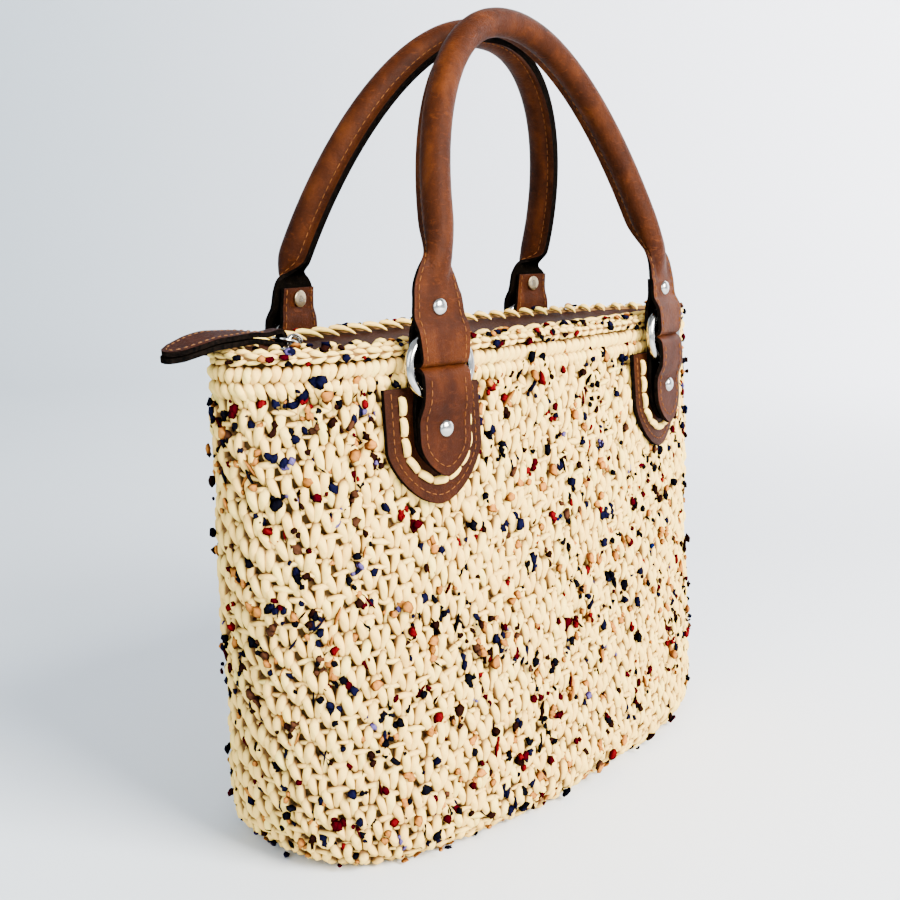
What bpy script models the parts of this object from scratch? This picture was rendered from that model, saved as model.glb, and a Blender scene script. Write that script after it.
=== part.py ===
"""Handbag: a crocheted oval body, closed by a zip between two leather strips,
with two rolled leather handles on metal rings.

Metres, +Z up. The origin is the middle of the base. X runs along the bag's
width, and the front face looks towards -Y.
"""

from math import acos, atan2, cos, pi, radians, sin

import bmesh
import bpy
from mathutils import Matrix, Vector

# Body
BODY_HEIGHT = 0.209
BASE_HALF_LENGTH = 0.141
MIDDLE_HALF_LENGTH = 0.1535
MOUTH_HALF_LENGTH = 0.160
BASE_HALF_DEPTH = 0.065
MIDDLE_HALF_DEPTH = 0.0495
MOUTH_HALF_DEPTH = 0.039
BASE_SQUARENESS = 2.68
MOUTH_SQUARENESS = 2.18
WALL = 0.006
BASE_EDGE_RADIUS = 0.014
BODY_SIDES = 48
BODY_LEVELS = 6
BASE_EDGE_STEPS = 4
INNER_EDGE_STEPS = 2

# Worked edge round the mouth
RIM_WIDTH = 0.0072
RIM_HEIGHT = 0.0070
RIM_SIDES = 8

# Zip and its two leather strips
ZIP_SINK = 0.0095
ZIP_END_RISE = 0.005
PANEL_SINK = 0.0038
PANEL_THICKNESS = 0.0014
PANEL_STEPS = 2
CHAIN_STEPS = 10
CHAIN_HALF_WIDTH = 0.0030
CHAIN_THICKNESS = 0.0022
SLIDER_X = -0.122
SLIDER_LENGTH = 0.0100
SLIDER_WIDTH = 0.0075
SLIDER_HEIGHT = 0.0036
BAIL_RADIUS = 0.0033
BAIL_WIRE = 0.0008
BAIL_STEPS = 14
PULL_RING_RADIUS = 0.0047
PULL_RING_WIRE = 0.00075
PULL_RING_TILT = radians(18)
PULL_RING_STEPS = 16
WIRE_SIDES = 6
PULL_LENGTH = 0.053
PULL_WIDTH = 0.0150
PULL_NECK = 0.0046
PULL_FOLD_ROOM = 0.0009
PULL_THICKNESS = 0.0020
PULL_DROP = 0.0050
PULL_ROLL = radians(9)
PULL_FOLD_STEPS = 6

# Rings, tabs and patches, four of each
MOUNT_X = 0.0835
RING_Z = 0.1993
RING_RADIUS = 0.0158
RING_WIRE = 0.0020
RING_STEPS = 16
RING_SIDES = 5
LEATHER = 0.0020
LAYER_SLIT = 0.0004
LOOP_RADIUS = 0.0033
SETTLE_SHARE = 1.3
FOLD_STEPS = 5
FOLD_GAP = 0.0012
PATCH_THICKNESS = 0.0022
PATCH_HALF_WIDTH = 0.0245
PATCH_TOP_DROP = 0.0080
PATCH_LENGTH = 0.0470
PATCH_SIDE_SHARE = 0.50
PATCH_POINT_POWER = 2.2
PATCH_COLUMNS = 8
PATCH_ROWS = 3
TAB_WIDTH = 0.0260
TAB_LENGTH = 0.0435
TAB_RIVET_DROP = 0.0243
TAB_POINT_POWER = 2.1
POINT_ROUNDNESS = 0.62

# Handles
STRAP_WIDTH = 0.0265
STRAP_FOLD_WIDTH = 0.0238
STRAP_RIVET_RISE = 0.0227
STRAP_TAIL = 0.0048
STRAP_STANDOFF = 0.0052
FRONT_TOP_Z = 0.3390
FRONT_SPREAD = 0.0797
FRONT_SWAY = -0.0020
BACK_TOP_Z = 0.3368
BACK_SPREAD = 0.0868
BACK_SWAY = 0.0045
HANDLE_APEX_Y = 0.0098
HANDLE_ARCH_SIDE = 2.09
HANDLE_ARCH_TOP = 1.77
HANDLE_LEAN = 0.90
ROLL_FORWARD = 0.0047
ROLL_RADIUS = 0.0062
FLANGE_REACH = 0.0030
FLANGE_HALF = 0.0018
OPEN_LENGTH = 0.0180
OPEN_STEPS = 6
ARCH_STEPS = 26
ROLL_SIDES = 7
ROLL_WRAP = radians(296)

# Rivets
RIVET_HEAD_RADIUS = 0.0036
RIVET_DOME = 0.0018
RIVET_POST_RADIUS = 0.0015
RIVET_CAP_THICKNESS = 0.0009
RIVET_SIDES = 8
DOME_STEPS = 2

# Space left between pieces, and the reach within which points are one
CLEARANCE = 0.0003
SAME_POINT = 0.00001

# Share of the pull's length, and half-width there as a share of its width
PULL_LEAF = (
    (0.00, 0.00),
    (0.15, 0.10),
    (0.35, 0.62),
    (0.55, 1.00),
    (0.75, 0.96),
    (0.90, 0.70),
    (0.98, 0.34),
    (1.00, 0.10),
)

# Shares of the pull's length that carry a section, from its tip to its fold
PULL_STATIONS = (1.0, 0.98, 0.94, 0.88, 0.78, 0.65, 0.5, 0.35, 0.24, 0.16, 0.1, 0.04)

# Shares of the pull's length between which each change takes place
PULL_RISE_SPAN = (0.0, 0.35)
PULL_DROP_SPAN = (0.55, 1.1)
PULL_CLOSE_SPAN = (0.0, 0.16)
PULL_ROLL_SPAN = (0.1, 0.6)

# Shares of a tab's rounded point that carry a section
TAB_POINT_STATIONS = (0.3, 0.55, 0.75, 0.9, 0.975, 0.9995)

LEATHER_BROWN = ((0.22, 0.075, 0.030), 0.45, 0.0)
PANEL_BROWN = ((0.12, 0.055, 0.042), 0.6, 0.0)
CREAM_YARN = ((0.86, 0.74, 0.55), 0.9, 0.0)
ZIP_BLACK = ((0.012, 0.012, 0.013), 0.5, 0.0)
BRIGHT_METAL = ((0.80, 0.80, 0.78), 0.18, 1.0)


def clear_scene():
    """Remove every object that a new file starts with."""
    for item in list(bpy.data.objects):
        bpy.data.objects.remove(item, do_unlink=True)


def material(name, look):
    """A plain Principled material from a colour, roughness and metallic."""
    colour, roughness, metallic = look
    made = bpy.data.materials.new(name)
    made.use_nodes = True
    shader = made.node_tree.nodes["Principled BSDF"]
    shader.inputs["Base Color"].default_value = (*colour, 1.0)
    shader.inputs["Roughness"].default_value = roughness
    shader.inputs["Metallic"].default_value = metallic
    return made


def new_object(name, bm, look, smooth_angle=35):
    """Turn a bmesh into a named object with its own material."""
    bmesh.ops.recalc_face_normals(bm, faces=bm.faces)
    mesh = bpy.data.meshes.new(name)
    bm.to_mesh(mesh)
    bm.free()
    mesh.shade_smooth()
    mesh.set_sharp_from_angle(angle=radians(smooth_angle))
    made = bpy.data.objects.new(name, mesh)
    bpy.context.scene.collection.objects.link(made)
    made.data.materials.append(material(name, look))
    return made


def smooth_step(low, high, value):
    """0 below low, 1 above high, and a smooth rise between."""
    share = min(max((value - low) / (high - low), 0.0), 1.0)
    return share * share * (3 - 2 * share)


def through_three(low, middle, high, share):
    """A parabola through three values at shares 0, one half and 1."""
    bend = 2 * (low + high) - 4 * middle
    return low + (high - low - bend) * share + bend * share * share


def half_length(z):
    return through_three(BASE_HALF_LENGTH, MIDDLE_HALF_LENGTH, MOUTH_HALF_LENGTH,
                         z / BODY_HEIGHT)


def half_depth(z):
    return through_three(BASE_HALF_DEPTH, MIDDLE_HALF_DEPTH, MOUTH_HALF_DEPTH,
                         z / BODY_HEIGHT)


def squareness(z):
    return BASE_SQUARENESS + (MOUTH_SQUARENESS - BASE_SQUARENESS) * z / BODY_HEIGHT


def signed_power(value, power):
    return abs(value) ** power * (1 if value >= 0 else -1)


def outline(z, inset, height=None):
    """The body's plan at a height, taken in by an inset, as a closed ring."""
    length = half_length(z) - inset
    depth = half_depth(z) - inset
    power = 2 / squareness(z)
    level = z if height is None else height
    ring = []
    for step in range(BODY_SIDES):
        angle = 2 * pi * (step + 0.5) / BODY_SIDES
        ring.append(Vector((length * signed_power(cos(angle), power),
                            depth * signed_power(sin(angle), power), level)))
    return ring


def depth_at(x, z, inset=0.0):
    """Distance from the middle plane to the wall, at one place and height."""
    square = squareness(z)
    share = min(abs(x) / (half_length(z) - inset), 1.0)
    return (half_depth(z) - inset) * (1 - share ** square) ** (1 / square)


def loft(rings, wrap=False):
    """Extrude a ring of points through a row of rings, and close the ends."""
    bm = bmesh.new()
    loop = [bm.verts.new(point) for point in rings[0]]
    if wrap:
        for here, there in zip(loop, loop[1:] + loop[:1]):
            bm.edges.new((here, there))
    else:
        bm.faces.new(loop)
    first_edges = [bm.edges.get(pair) for pair in zip(loop, loop[1:] + loop[:1])]
    edges = first_edges
    for ring in rings[1:]:
        made = bmesh.ops.extrude_edge_only(bm, edges=edges)["geom"]
        fresh = {tuple(item.co): item for item in made
                 if isinstance(item, bmesh.types.BMVert)}
        loop = [fresh[tuple(vert.co)] for vert in loop]
        for vert, point in zip(loop, ring):
            vert.co = point
        edges = [bm.edges.get(pair) for pair in zip(loop, loop[1:] + loop[:1])]
    if wrap:
        bmesh.ops.bridge_loops(bm, edges=edges + first_edges)
    else:
        bm.faces.new(loop)
    return bm


def make_body():
    """One skin from the base's middle, up the outside and down the inside."""
    top = BODY_HEIGHT - RIM_HEIGHT - CLEARANCE
    rings = []
    for step in range(BASE_EDGE_STEPS + 1):
        angle = step / BASE_EDGE_STEPS * pi / 2
        inset = BASE_EDGE_RADIUS * (1 - sin(angle))
        height = BASE_EDGE_RADIUS * (1 - cos(angle))
        rings.append(outline(height, inset))
    for level in range(1, BODY_LEVELS):
        share = level / BODY_LEVELS
        rings.append(outline(BASE_EDGE_RADIUS + (top - BASE_EDGE_RADIUS) * share, 0))
    rings.append(outline(top, CLEARANCE))
    rings.append(outline(top, WALL))
    for level in reversed(range(1, BODY_LEVELS)):
        share = level / BODY_LEVELS
        rings.append(outline(BASE_EDGE_RADIUS + (top - BASE_EDGE_RADIUS) * share, WALL))
    inner_radius = BASE_EDGE_RADIUS - WALL
    for step in range(INNER_EDGE_STEPS + 1):
        angle = step / INNER_EDGE_STEPS * pi / 2
        inset = WALL + inner_radius * (1 - cos(angle))
        height = BASE_EDGE_RADIUS - inner_radius * sin(angle)
        rings.append(outline(height, inset))
    new_object("body_shell", loft(rings), CREAM_YARN)


def make_rim():
    """The thick edge: a many-sided section swept round the mouth."""
    rings = []
    middle = BODY_HEIGHT - RIM_HEIGHT / 2
    reach = 1 / cos(pi / RIM_SIDES)
    for step in range(RIM_SIDES):
        angle = 2 * pi * (step + 0.5) / RIM_SIDES
        inset = RIM_WIDTH / 2 * (1 - min(max(cos(angle) * reach, -1), 1))
        height = middle + RIM_HEIGHT / 2 * min(max(sin(angle) * reach, -1), 1)
        rings.append(outline(BODY_HEIGHT, inset, height))
    new_object("rim_braid", loft(rings, wrap=True), CREAM_YARN)


def mouth_edge():
    """Half the mouth's inner edge as (x, y), where strips have room."""
    room = CHAIN_HALF_WIDTH + CLEARANCE + PANEL_THICKNESS * 2
    ring = outline(BODY_HEIGHT, RIM_WIDTH + CLEARANCE)
    return sorted((point.x, point.y) for point in ring if point.y > room)


def zip_reach():
    """Half the zip's length: where the mouth has room for strips beside it."""
    return mouth_edge()[-1][0]


def zip_height(x):
    """The chain's middle height: sunk, and rising to both ends."""
    share = abs(x) / zip_reach()
    return BODY_HEIGHT - ZIP_SINK + ZIP_END_RISE * share ** 4


def make_panel(name, face):
    """A leather strip from the chain out to the rim, thickened downwards."""
    bm = bmesh.new()
    columns = []
    inner = CHAIN_HALF_WIDTH + CLEARANCE
    for x, outer in mouth_edge():
        low = zip_height(x)
        high = BODY_HEIGHT - PANEL_SINK
        row = []
        for step in range(PANEL_STEPS + 1):
            share = step / PANEL_STEPS
            place = (x, face * (inner + (outer - inner) * share),
                     low + (high - low) * share)
            row.append(bm.verts.new(place))
        columns.append(row)
    for left, right in zip(columns, columns[1:]):
        for row in range(PANEL_STEPS):
            corners = (left[row], right[row], right[row + 1], left[row + 1])
            bm.faces.new(corners if face < 0 else corners[::-1])
    panel = new_object(name, bm, PANEL_BROWN)
    thicken = panel.modifiers.new("Thickness", "SOLIDIFY")
    thicken.thickness = PANEL_THICKNESS
    thicken.offset = 0.0


def make_chain():
    """The closed zip, a flat bar that follows the strips' dip."""
    reach = zip_reach()
    rings = []
    for step in range(CHAIN_STEPS + 1):
        x = reach * (2 * step / CHAIN_STEPS - 1)
        z = zip_height(x)
        half = CHAIN_THICKNESS / 2
        rings.append([Vector((x, -CHAIN_HALF_WIDTH, z - half)),
                      Vector((x, CHAIN_HALF_WIDTH, z - half)),
                      Vector((x, CHAIN_HALF_WIDTH, z + half)),
                      Vector((x, -CHAIN_HALF_WIDTH, z + half))])
    new_object("zip_chain", loft(rings), ZIP_BLACK)


def cutter(name, bm):
    """A hidden shape that a Boolean takes away or joins on."""
    tool = new_object(name, bm, BRIGHT_METAL)
    tool.hide_render = True
    tool.display_type = "WIRE"
    return tool


def boolean(target, tool, operation):
    """Take the tool's shape away from the target, or join it on."""
    step = target.modifiers.new(operation.title(), "BOOLEAN")
    step.operation = operation
    step.solver = "EXACT"
    step.object = tool


def torus_mesh(radius, wire, steps, sides):
    """A round ring about Y, as a small circle spun through a full turn."""
    bm = bmesh.new()
    circle = bmesh.ops.create_circle(bm, segments=sides, radius=wire,
                                     matrix=Matrix.Translation((radius, 0, 0)))
    edges = list({edge for vert in circle["verts"] for edge in vert.link_edges})
    bmesh.ops.spin(bm, geom=circle["verts"] + edges, cent=(0, 0, 0), axis=(0, 1, 0),
                   angle=2 * pi, steps=steps, use_merge=True)
    bmesh.ops.remove_doubles(bm, verts=bm.verts, dist=SAME_POINT)
    return bm


def slider_tilt():
    """Slope of the chain where the slider sits."""
    step = SLIDER_LENGTH / 2
    return atan2(zip_height(SLIDER_X - step) - zip_height(SLIDER_X + step),
                 SLIDER_LENGTH)


def slider_base():
    """Height of the slider's underside, clear of the chain all along it."""
    half = SLIDER_LENGTH / 2
    tops = [zip_height(SLIDER_X + half * share) for share in (-1, 0, 1)]
    return (tops[0] + tops[2]) / 2 + CHAIN_THICKNESS / 2 + CLEARANCE


def bail_centre():
    """The eye of the bail, above the slider's top face."""
    lift = SLIDER_HEIGHT + BAIL_RADIUS - BAIL_WIRE - CLEARANCE * 4
    return Vector((SLIDER_X, 0, slider_base() + lift))


def make_slider():
    """A rounded block with a wire bail standing on it."""
    bm = bmesh.new()
    size = Matrix.Diagonal((SLIDER_LENGTH, SLIDER_WIDTH, SLIDER_HEIGHT, 1))
    bmesh.ops.create_cube(bm, size=1.0, matrix=size)
    bmesh.ops.bevel(bm, geom=bm.edges[:], offset=SLIDER_HEIGHT / 4, segments=1,
                    affect="EDGES", profile=0.5)
    slider = new_object("zip_slider", bm, BRIGHT_METAL)
    slider.location = (SLIDER_X, 0, slider_base() + SLIDER_HEIGHT / 2)
    slider.rotation_euler = (0, slider_tilt(), 0)
    bail = cutter("bail_form", torus_mesh(BAIL_RADIUS, BAIL_WIRE, BAIL_STEPS, WIRE_SIDES))
    bail.location = bail_centre()
    boolean(slider, bail, "UNION")


def pull_hook():
    """Where the pull's fold sits: the far side of the small ring."""
    reach = 2 * PULL_RING_RADIUS
    return bail_centre() + Vector((-reach * cos(PULL_RING_TILT), 0,
                                   reach * sin(PULL_RING_TILT)))


def make_pull_ring():
    """The ring that lies from the bail's eye to the pull's fold."""
    bm = torus_mesh(PULL_RING_RADIUS, PULL_RING_WIRE, PULL_RING_STEPS, WIRE_SIDES)
    ring = new_object("zip_ring", bm, BRIGHT_METAL)
    ring.location = (bail_centre() + pull_hook()) / 2
    lying = Matrix.Rotation(PULL_RING_TILT, 3, "Y") @ Matrix.Rotation(pi / 2, 3, "X")
    ring.rotation_euler = lying.to_euler()


def from_table(table, share):
    """Straight-line reading of a table of (share, value) rows."""
    for (low, start), (high, end) in zip(table, table[1:]):
        if share <= high:
            return start + (end - start) * (share - low) / (high - low)
    return table[-1][1]


def pull_middle(distance):
    """Height of the pull's middle over its hook, and its sideways turn."""
    share = distance / PULL_LENGTH
    edge_dip = PULL_WIDTH / 2 * sin(PULL_ROLL)
    rest = BODY_HEIGHT + PULL_THICKNESS + LAYER_SLIT + CLEARANCE + edge_dip
    rise = rest - pull_hook().z
    drop = PULL_DROP * smooth_step(*PULL_DROP_SPAN, share)
    return rise * smooth_step(*PULL_RISE_SPAN, share) - drop


def pull_ring_of(distance, side, turn):
    """One four-cornered section of the pull, on its upper or lower layer."""
    share = distance / PULL_LENGTH
    hook = pull_hook()
    fold = PULL_RING_WIRE + PULL_FOLD_ROOM + PULL_THICKNESS / 2
    closed = LAYER_SLIT / 2 + PULL_THICKNESS / 2
    apart = fold + (closed - fold) * smooth_step(*PULL_CLOSE_SPAN, share)
    half = PULL_WIDTH / 2 * from_table(PULL_LEAF, share)
    if share < PULL_LEAF[3][0]:
        half = PULL_NECK / 2 + (PULL_WIDTH - PULL_NECK) / 2 * from_table(PULL_LEAF, share)
    roll = PULL_ROLL * smooth_step(*PULL_ROLL_SPAN, share)
    across = Vector((0, cos(roll), sin(roll)))
    if turn is None:
        centre = hook + Vector((-distance, 0, pull_middle(distance)))
        out = Vector((0, -sin(roll), cos(roll)))
        centre = centre + out * side * apart
        return section(centre, across, out, half, PULL_THICKNESS / 2)
    out = Vector((sin(turn), 0, cos(turn)))
    return section(hook + out * fold, across, out, half, PULL_THICKNESS / 2)


def section(centre, across, out, half_width, half_thick):
    """Four corners of a strap's section."""
    return [centre + across * half_width + out * half_thick,
            centre - across * half_width + out * half_thick,
            centre - across * half_width - out * half_thick,
            centre + across * half_width - out * half_thick]


def make_pull():
    """A leather leaf folded over the ring: lower layer, fold, upper layer."""
    rings = [flip(pull_ring_of(share * PULL_LENGTH, -1, None)) for share in PULL_STATIONS]
    for step in range(1, PULL_FOLD_STEPS):
        turn = pi - pi * step / PULL_FOLD_STEPS
        rings.append(pull_ring_of(0.0, 0, turn))
    for share in reversed(PULL_STATIONS):
        rings.append(pull_ring_of(share * PULL_LENGTH, 1, None))
    new_object("zip_pull_tab", loft(rings), LEATHER_BROWN)


def flip(ring):
    """The same section with its outer face on the other side."""
    return [ring[3], ring[2], ring[1], ring[0]]


def mount_turn():
    """How far the wall's outward direction turns towards the bag's end."""
    step = WALL / 10
    slope = (depth_at(MOUNT_X + step, RING_Z) - depth_at(MOUNT_X - step, RING_Z))
    return atan2(-slope, 2 * step)


def mount_frame(end, face):
    """Frame of one mount: X along the wall, Y outwards, Z up."""
    turn = mount_turn() * -end * face
    if face < 0:
        turn += pi
    place = Vector((end * MOUNT_X, face * depth_at(MOUNT_X, RING_Z), RING_Z))
    return Matrix.Translation(place) @ Matrix.Rotation(turn, 4, "Z")


def wall_lean(rise):
    """How far the wall stands out at a height, against the mount's height."""
    return depth_at(MOUNT_X, RING_Z + rise) - depth_at(MOUNT_X, RING_Z)


def placed(name, bm, look, end, face):
    """An object on one mount."""
    made = new_object(name, bm, look)
    frame = mount_frame(end, face)
    made.location = frame.to_translation()
    made.rotation_euler = frame.to_euler()
    return made


def patch_face():
    return CLEARANCE + PATCH_THICKNESS


def ring_standoff():
    """Middle of the ring from the wall: patch, tab's back layer, half a wire."""
    return patch_face() + CLEARANCE + LEATHER + CLEARANCE + RING_WIRE


def loop_front():
    """Middle of a fold's front layer, from the wall."""
    return ring_standoff() + LOOP_RADIUS + LEATHER / 2


def make_ring(name, end, face):
    bm = torus_mesh(RING_RADIUS, RING_WIRE, RING_STEPS, RING_SIDES)
    for vert in bm.verts:
        vert.co.y += ring_standoff() + wall_lean(vert.co.z)
    placed(name, bm, BRIGHT_METAL, end, face)


def pinch_start():
    return RING_RADIUS - FOLD_GAP / 2 + RING_WIRE / 10


def loop_path(rivet, tail, length, back_flat, front_flat, back_bulge):
    """Middle line of a folded strap as (distance from the fold, standoff, turn).

    It starts at the tail of the back layer, runs to the fold and returns on
    the front. A turn of pi faces the wall and 0 faces away from it.
    """
    middle = LOOP_RADIUS + LEATHER
    settled = middle * SETTLE_SHARE
    start = pinch_start()
    end = rivet - RIVET_HEAD_RADIUS
    radius = LOOP_RADIUS + LEATHER / 2
    near = loop_front() - 2 * radius
    path = []
    for distance in (tail, end, (start + end) / 2, start, settled):
        share = smooth_step(start, end, distance)
        path.append((distance, back_bulge + (back_flat - back_bulge) * share, pi))
    for step in range(FOLD_STEPS + 1):
        turn = pi - pi * step / FOLD_STEPS
        standoff = near + radius * (1 + cos(turn))
        path.append((middle - radius * sin(turn), standoff, turn))
    for distance in (start, (start + end) / 2, end, length):
        share = smooth_step(start, end, distance)
        path.append((distance, loop_front() + (front_flat - loop_front()) * share, 0.0))
    return path


def strap_section(along, standoff, turn, side, half_width):
    """Section of a folded strap in its mount's frame.

    side is 1 for a strap above the fold and -1 for one below it.
    """
    rise = side * (FOLD_GAP / 2 + along)
    centre = Vector((0, standoff + wall_lean(rise), rise))
    out = Vector((0, cos(turn), -side * sin(turn)))
    across = Vector((1, 0, 0))
    return section(centre, across, out, half_width, LEATHER / 2)


def tab_point_start():
    """Distance from the fold to where the tab starts to narrow."""
    return TAB_LENGTH - TAB_WIDTH * POINT_ROUNDNESS


def tab_half_width(distance):
    """Even sides, then a rounded point."""
    start = tab_point_start()
    share = min(max((distance - start) / (TAB_LENGTH - start), 0.0), 1.0)
    return TAB_WIDTH / 2 * (1 - share ** TAB_POINT_POWER) ** POINT_ROUNDNESS


def make_tab(name, end, face):
    """A tab folded up through the ring and riveted to the patch."""
    back = patch_face() + CLEARANCE + LEATHER / 2
    front = back + LEATHER + LAYER_SLIT
    rivet = TAB_RIVET_DROP - FOLD_GAP / 2
    body_end = tab_point_start()
    tail = rivet + RIVET_HEAD_RADIUS * 1.6
    path = loop_path(rivet, tail, body_end, back, front, back)
    rings = [strap_section(*row, -1, TAB_WIDTH / 2) for row in path]
    for share in TAB_POINT_STATIONS:
        distance = body_end + (TAB_LENGTH - body_end) * share
        rings.append(strap_section(distance, front, 0.0, -1, tab_half_width(distance)))
    tab = placed(name, loft(rings), LEATHER_BROWN, end, face)
    drill(tab, end, face, -TAB_RIVET_DROP)


def drill(target, end, face, rise):
    """A hole for a rivet's post, through every layer on the mount."""
    bm = bmesh.new()
    reach = loop_front() * 2
    bmesh.ops.create_cone(bm, cap_ends=True, segments=RIVET_SIDES,
                          radius1=RIVET_POST_RADIUS + CLEARANCE,
                          radius2=RIVET_POST_RADIUS + CLEARANCE, depth=reach * 2,
                          matrix=Matrix.Rotation(pi / 2, 4, "X"))
    side = "left" if end < 0 else "right"
    tool = cutter(f"{target.name}_{side}_hole", bm)
    tool.matrix_world = mount_frame(end, face) @ Matrix.Translation(
        (0, wall_lean(rise), rise))
    boolean(target, tool, "DIFFERENCE")


def patch_bottom(share):
    """Depth of the patch's lower edge at a share of its half-width."""
    drop = (1 - abs(share) ** PATCH_POINT_POWER) ** POINT_ROUNDNESS
    return PATCH_LENGTH * (PATCH_SIDE_SHARE + (1 - PATCH_SIDE_SHARE) * drop)


def patch_point(across, drop, mirror):
    """A point of the patch's back face, following the wall's curve."""
    frame = mount_frame(1, 1)
    turn = mount_turn()
    x = MOUNT_X + across * cos(turn)
    z = RING_Z - PATCH_TOP_DROP - drop
    world = Vector((x, depth_at(x, z) + CLEARANCE, z))
    local = frame.inverted() @ world
    return Vector((local.x * mirror, local.y, local.z))


def make_patch(name, end, face):
    """A leather patch with a pointed foot, curved with the wall."""
    mirror = end * face
    bm = bmesh.new()
    grid = []
    for column in range(PATCH_COLUMNS + 1):
        share = sin((column / PATCH_COLUMNS - 0.5) * pi)
        foot = patch_bottom(share)
        grid.append([bm.verts.new(patch_point(share * PATCH_HALF_WIDTH,
                                              foot * row / PATCH_ROWS, mirror))
                     for row in range(PATCH_ROWS + 1)])
    for left, right in zip(grid, grid[1:]):
        for row in range(PATCH_ROWS):
            corners = (left[row], right[row], right[row + 1], left[row + 1])
            bm.faces.new(corners)
    patch = placed(name, bm, LEATHER_BROWN, end, face)
    outward = mean_normal(patch)
    thicken = patch.modifiers.new("Thickness", "SOLIDIFY")
    thicken.thickness = PATCH_THICKNESS
    thicken.offset = 1.0 if outward > 0 else -1.0
    drill(patch, end, face, -TAB_RIVET_DROP)
    sink_cap(patch, end, face)


def mean_normal(item):
    """Which way a sheet faces: above 0 is away from the wall."""
    return sum(polygon.normal.y for polygon in item.data.polygons)


def sink_cap(target, end, face):
    """A shallow seat in the patch's back for the rivet's cap."""
    bm = bmesh.new()
    depth = 2 * (RIVET_CAP_THICKNESS + 2 * CLEARANCE)
    bmesh.ops.create_cone(bm, cap_ends=True, segments=RIVET_SIDES,
                          radius1=RIVET_HEAD_RADIUS + CLEARANCE,
                          radius2=RIVET_HEAD_RADIUS + CLEARANCE, depth=depth,
                          matrix=Matrix.Rotation(pi / 2, 4, "X"))
    tool = cutter(target.name + "_seat", bm)
    tool.matrix_world = mount_frame(end, face) @ Matrix.Translation(
        (0, wall_lean(-TAB_RIVET_DROP) + CLEARANCE, -TAB_RIVET_DROP))
    boolean(target, tool, "DIFFERENCE")


def make_rivet(name, end, face, rise, back, front):
    """A domed rivet: head in front, post, and a flat cap behind."""
    half = RIVET_HEAD_RADIUS
    profile = [(0.0, back)]
    profile += [(half, back), (half, back + RIVET_CAP_THICKNESS)]
    profile += [(RIVET_POST_RADIUS, back + RIVET_CAP_THICKNESS)]
    profile += [(RIVET_POST_RADIUS, front), (half, front)]
    for step in range(1, DOME_STEPS + 1):
        angle = step / DOME_STEPS * pi / 2
        profile.append((half * cos(angle), front + RIVET_DOME * sin(angle)))
    bm = bmesh.new()
    verts = [bm.verts.new((radius, along, 0)) for radius, along in profile]
    verts[-1].co.x = 0.0
    edges = [bm.edges.new(pair) for pair in zip(verts, verts[1:])]
    bmesh.ops.spin(bm, geom=verts + edges, cent=(0, 0, 0), axis=(0, 1, 0),
                   angle=2 * pi, steps=RIVET_SIDES, use_merge=True)
    bmesh.ops.remove_doubles(bm, verts=bm.verts, dist=SAME_POINT)
    for vert in bm.verts:
        vert.co.y += wall_lean(rise)
        vert.co.z += rise
    placed(name, bm, BRIGHT_METAL, end, face)


def make_tab_rivet(name, end, face):
    front = patch_face() + CLEARANCE + 2 * LEATHER + LAYER_SLIT + CLEARANCE
    make_rivet(name, end, face, -TAB_RIVET_DROP, CLEARANCE, front)


def make_handle_rivet(name, end, face):
    front = strap_front() + LEATHER / 2 + CLEARANCE
    back = strap_back() - LEATHER / 2 - CLEARANCE - RIVET_CAP_THICKNESS
    make_rivet(name, end, face, STRAP_RIVET_RISE, back, front)


def strap_back():
    """Middle of the strap's back layer at its rivet."""
    return STRAP_STANDOFF


def strap_front():
    return strap_back() + LEATHER + LAYER_SLIT


def roll_outline():
    """Section of the closed roll: round in front, a flat flange behind.

    Each point is (across the strap, outwards). The first and last are the
    two sewn edges of the flange.
    """
    tip = -(ROLL_RADIUS + FLANGE_REACH)
    points = [(FLANGE_HALF, tip), (FLANGE_HALF, -ROLL_RADIUS * 0.97)]
    for step in range(ROLL_SIDES + 1):
        angle = ROLL_WRAP * (step / ROLL_SIDES - 0.5) + pi / 2
        points.append((ROLL_RADIUS * cos(angle), ROLL_RADIUS * sin(angle)))
    points += [(-FLANGE_HALF, -ROLL_RADIUS * 0.97), (-FLANGE_HALF, tip)]
    return points


def inward(points, index):
    """Unit direction from an outline point to its leather's inner side."""
    before = points[max(index - 1, 0)]
    after = points[min(index + 1, len(points) - 1)]
    along = Vector((after[0] - before[0], after[1] - before[1])).normalized()
    return Vector((-along.y, along.x))


def handle_section(closed, half_width):
    """Section of the handle between a flat strap (0) and a closed roll (1)."""
    roll = roll_outline()
    last = len(roll) - 1
    outer = []
    for index, (across, out) in enumerate(roll):
        flat = Vector((half_width * (1 - 2 * index / last), LEATHER / 2))
        outer.append(flat.lerp(Vector((across, out)), closed))
    filled = smooth_step(0.7, 1.0, closed)
    inner = []
    for index in (last, last * 3 // 4, last // 2, last // 4, 0):
        hollow = outer[index] + inward(outer, index) * LEATHER
        edge = Vector((FLANGE_HALF * 0.7 * (1 - 2 * index / last),
                       -(ROLL_RADIUS + FLANGE_REACH)))
        inner.append(hollow.lerp(edge, filled))
    return outer + inner


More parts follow.
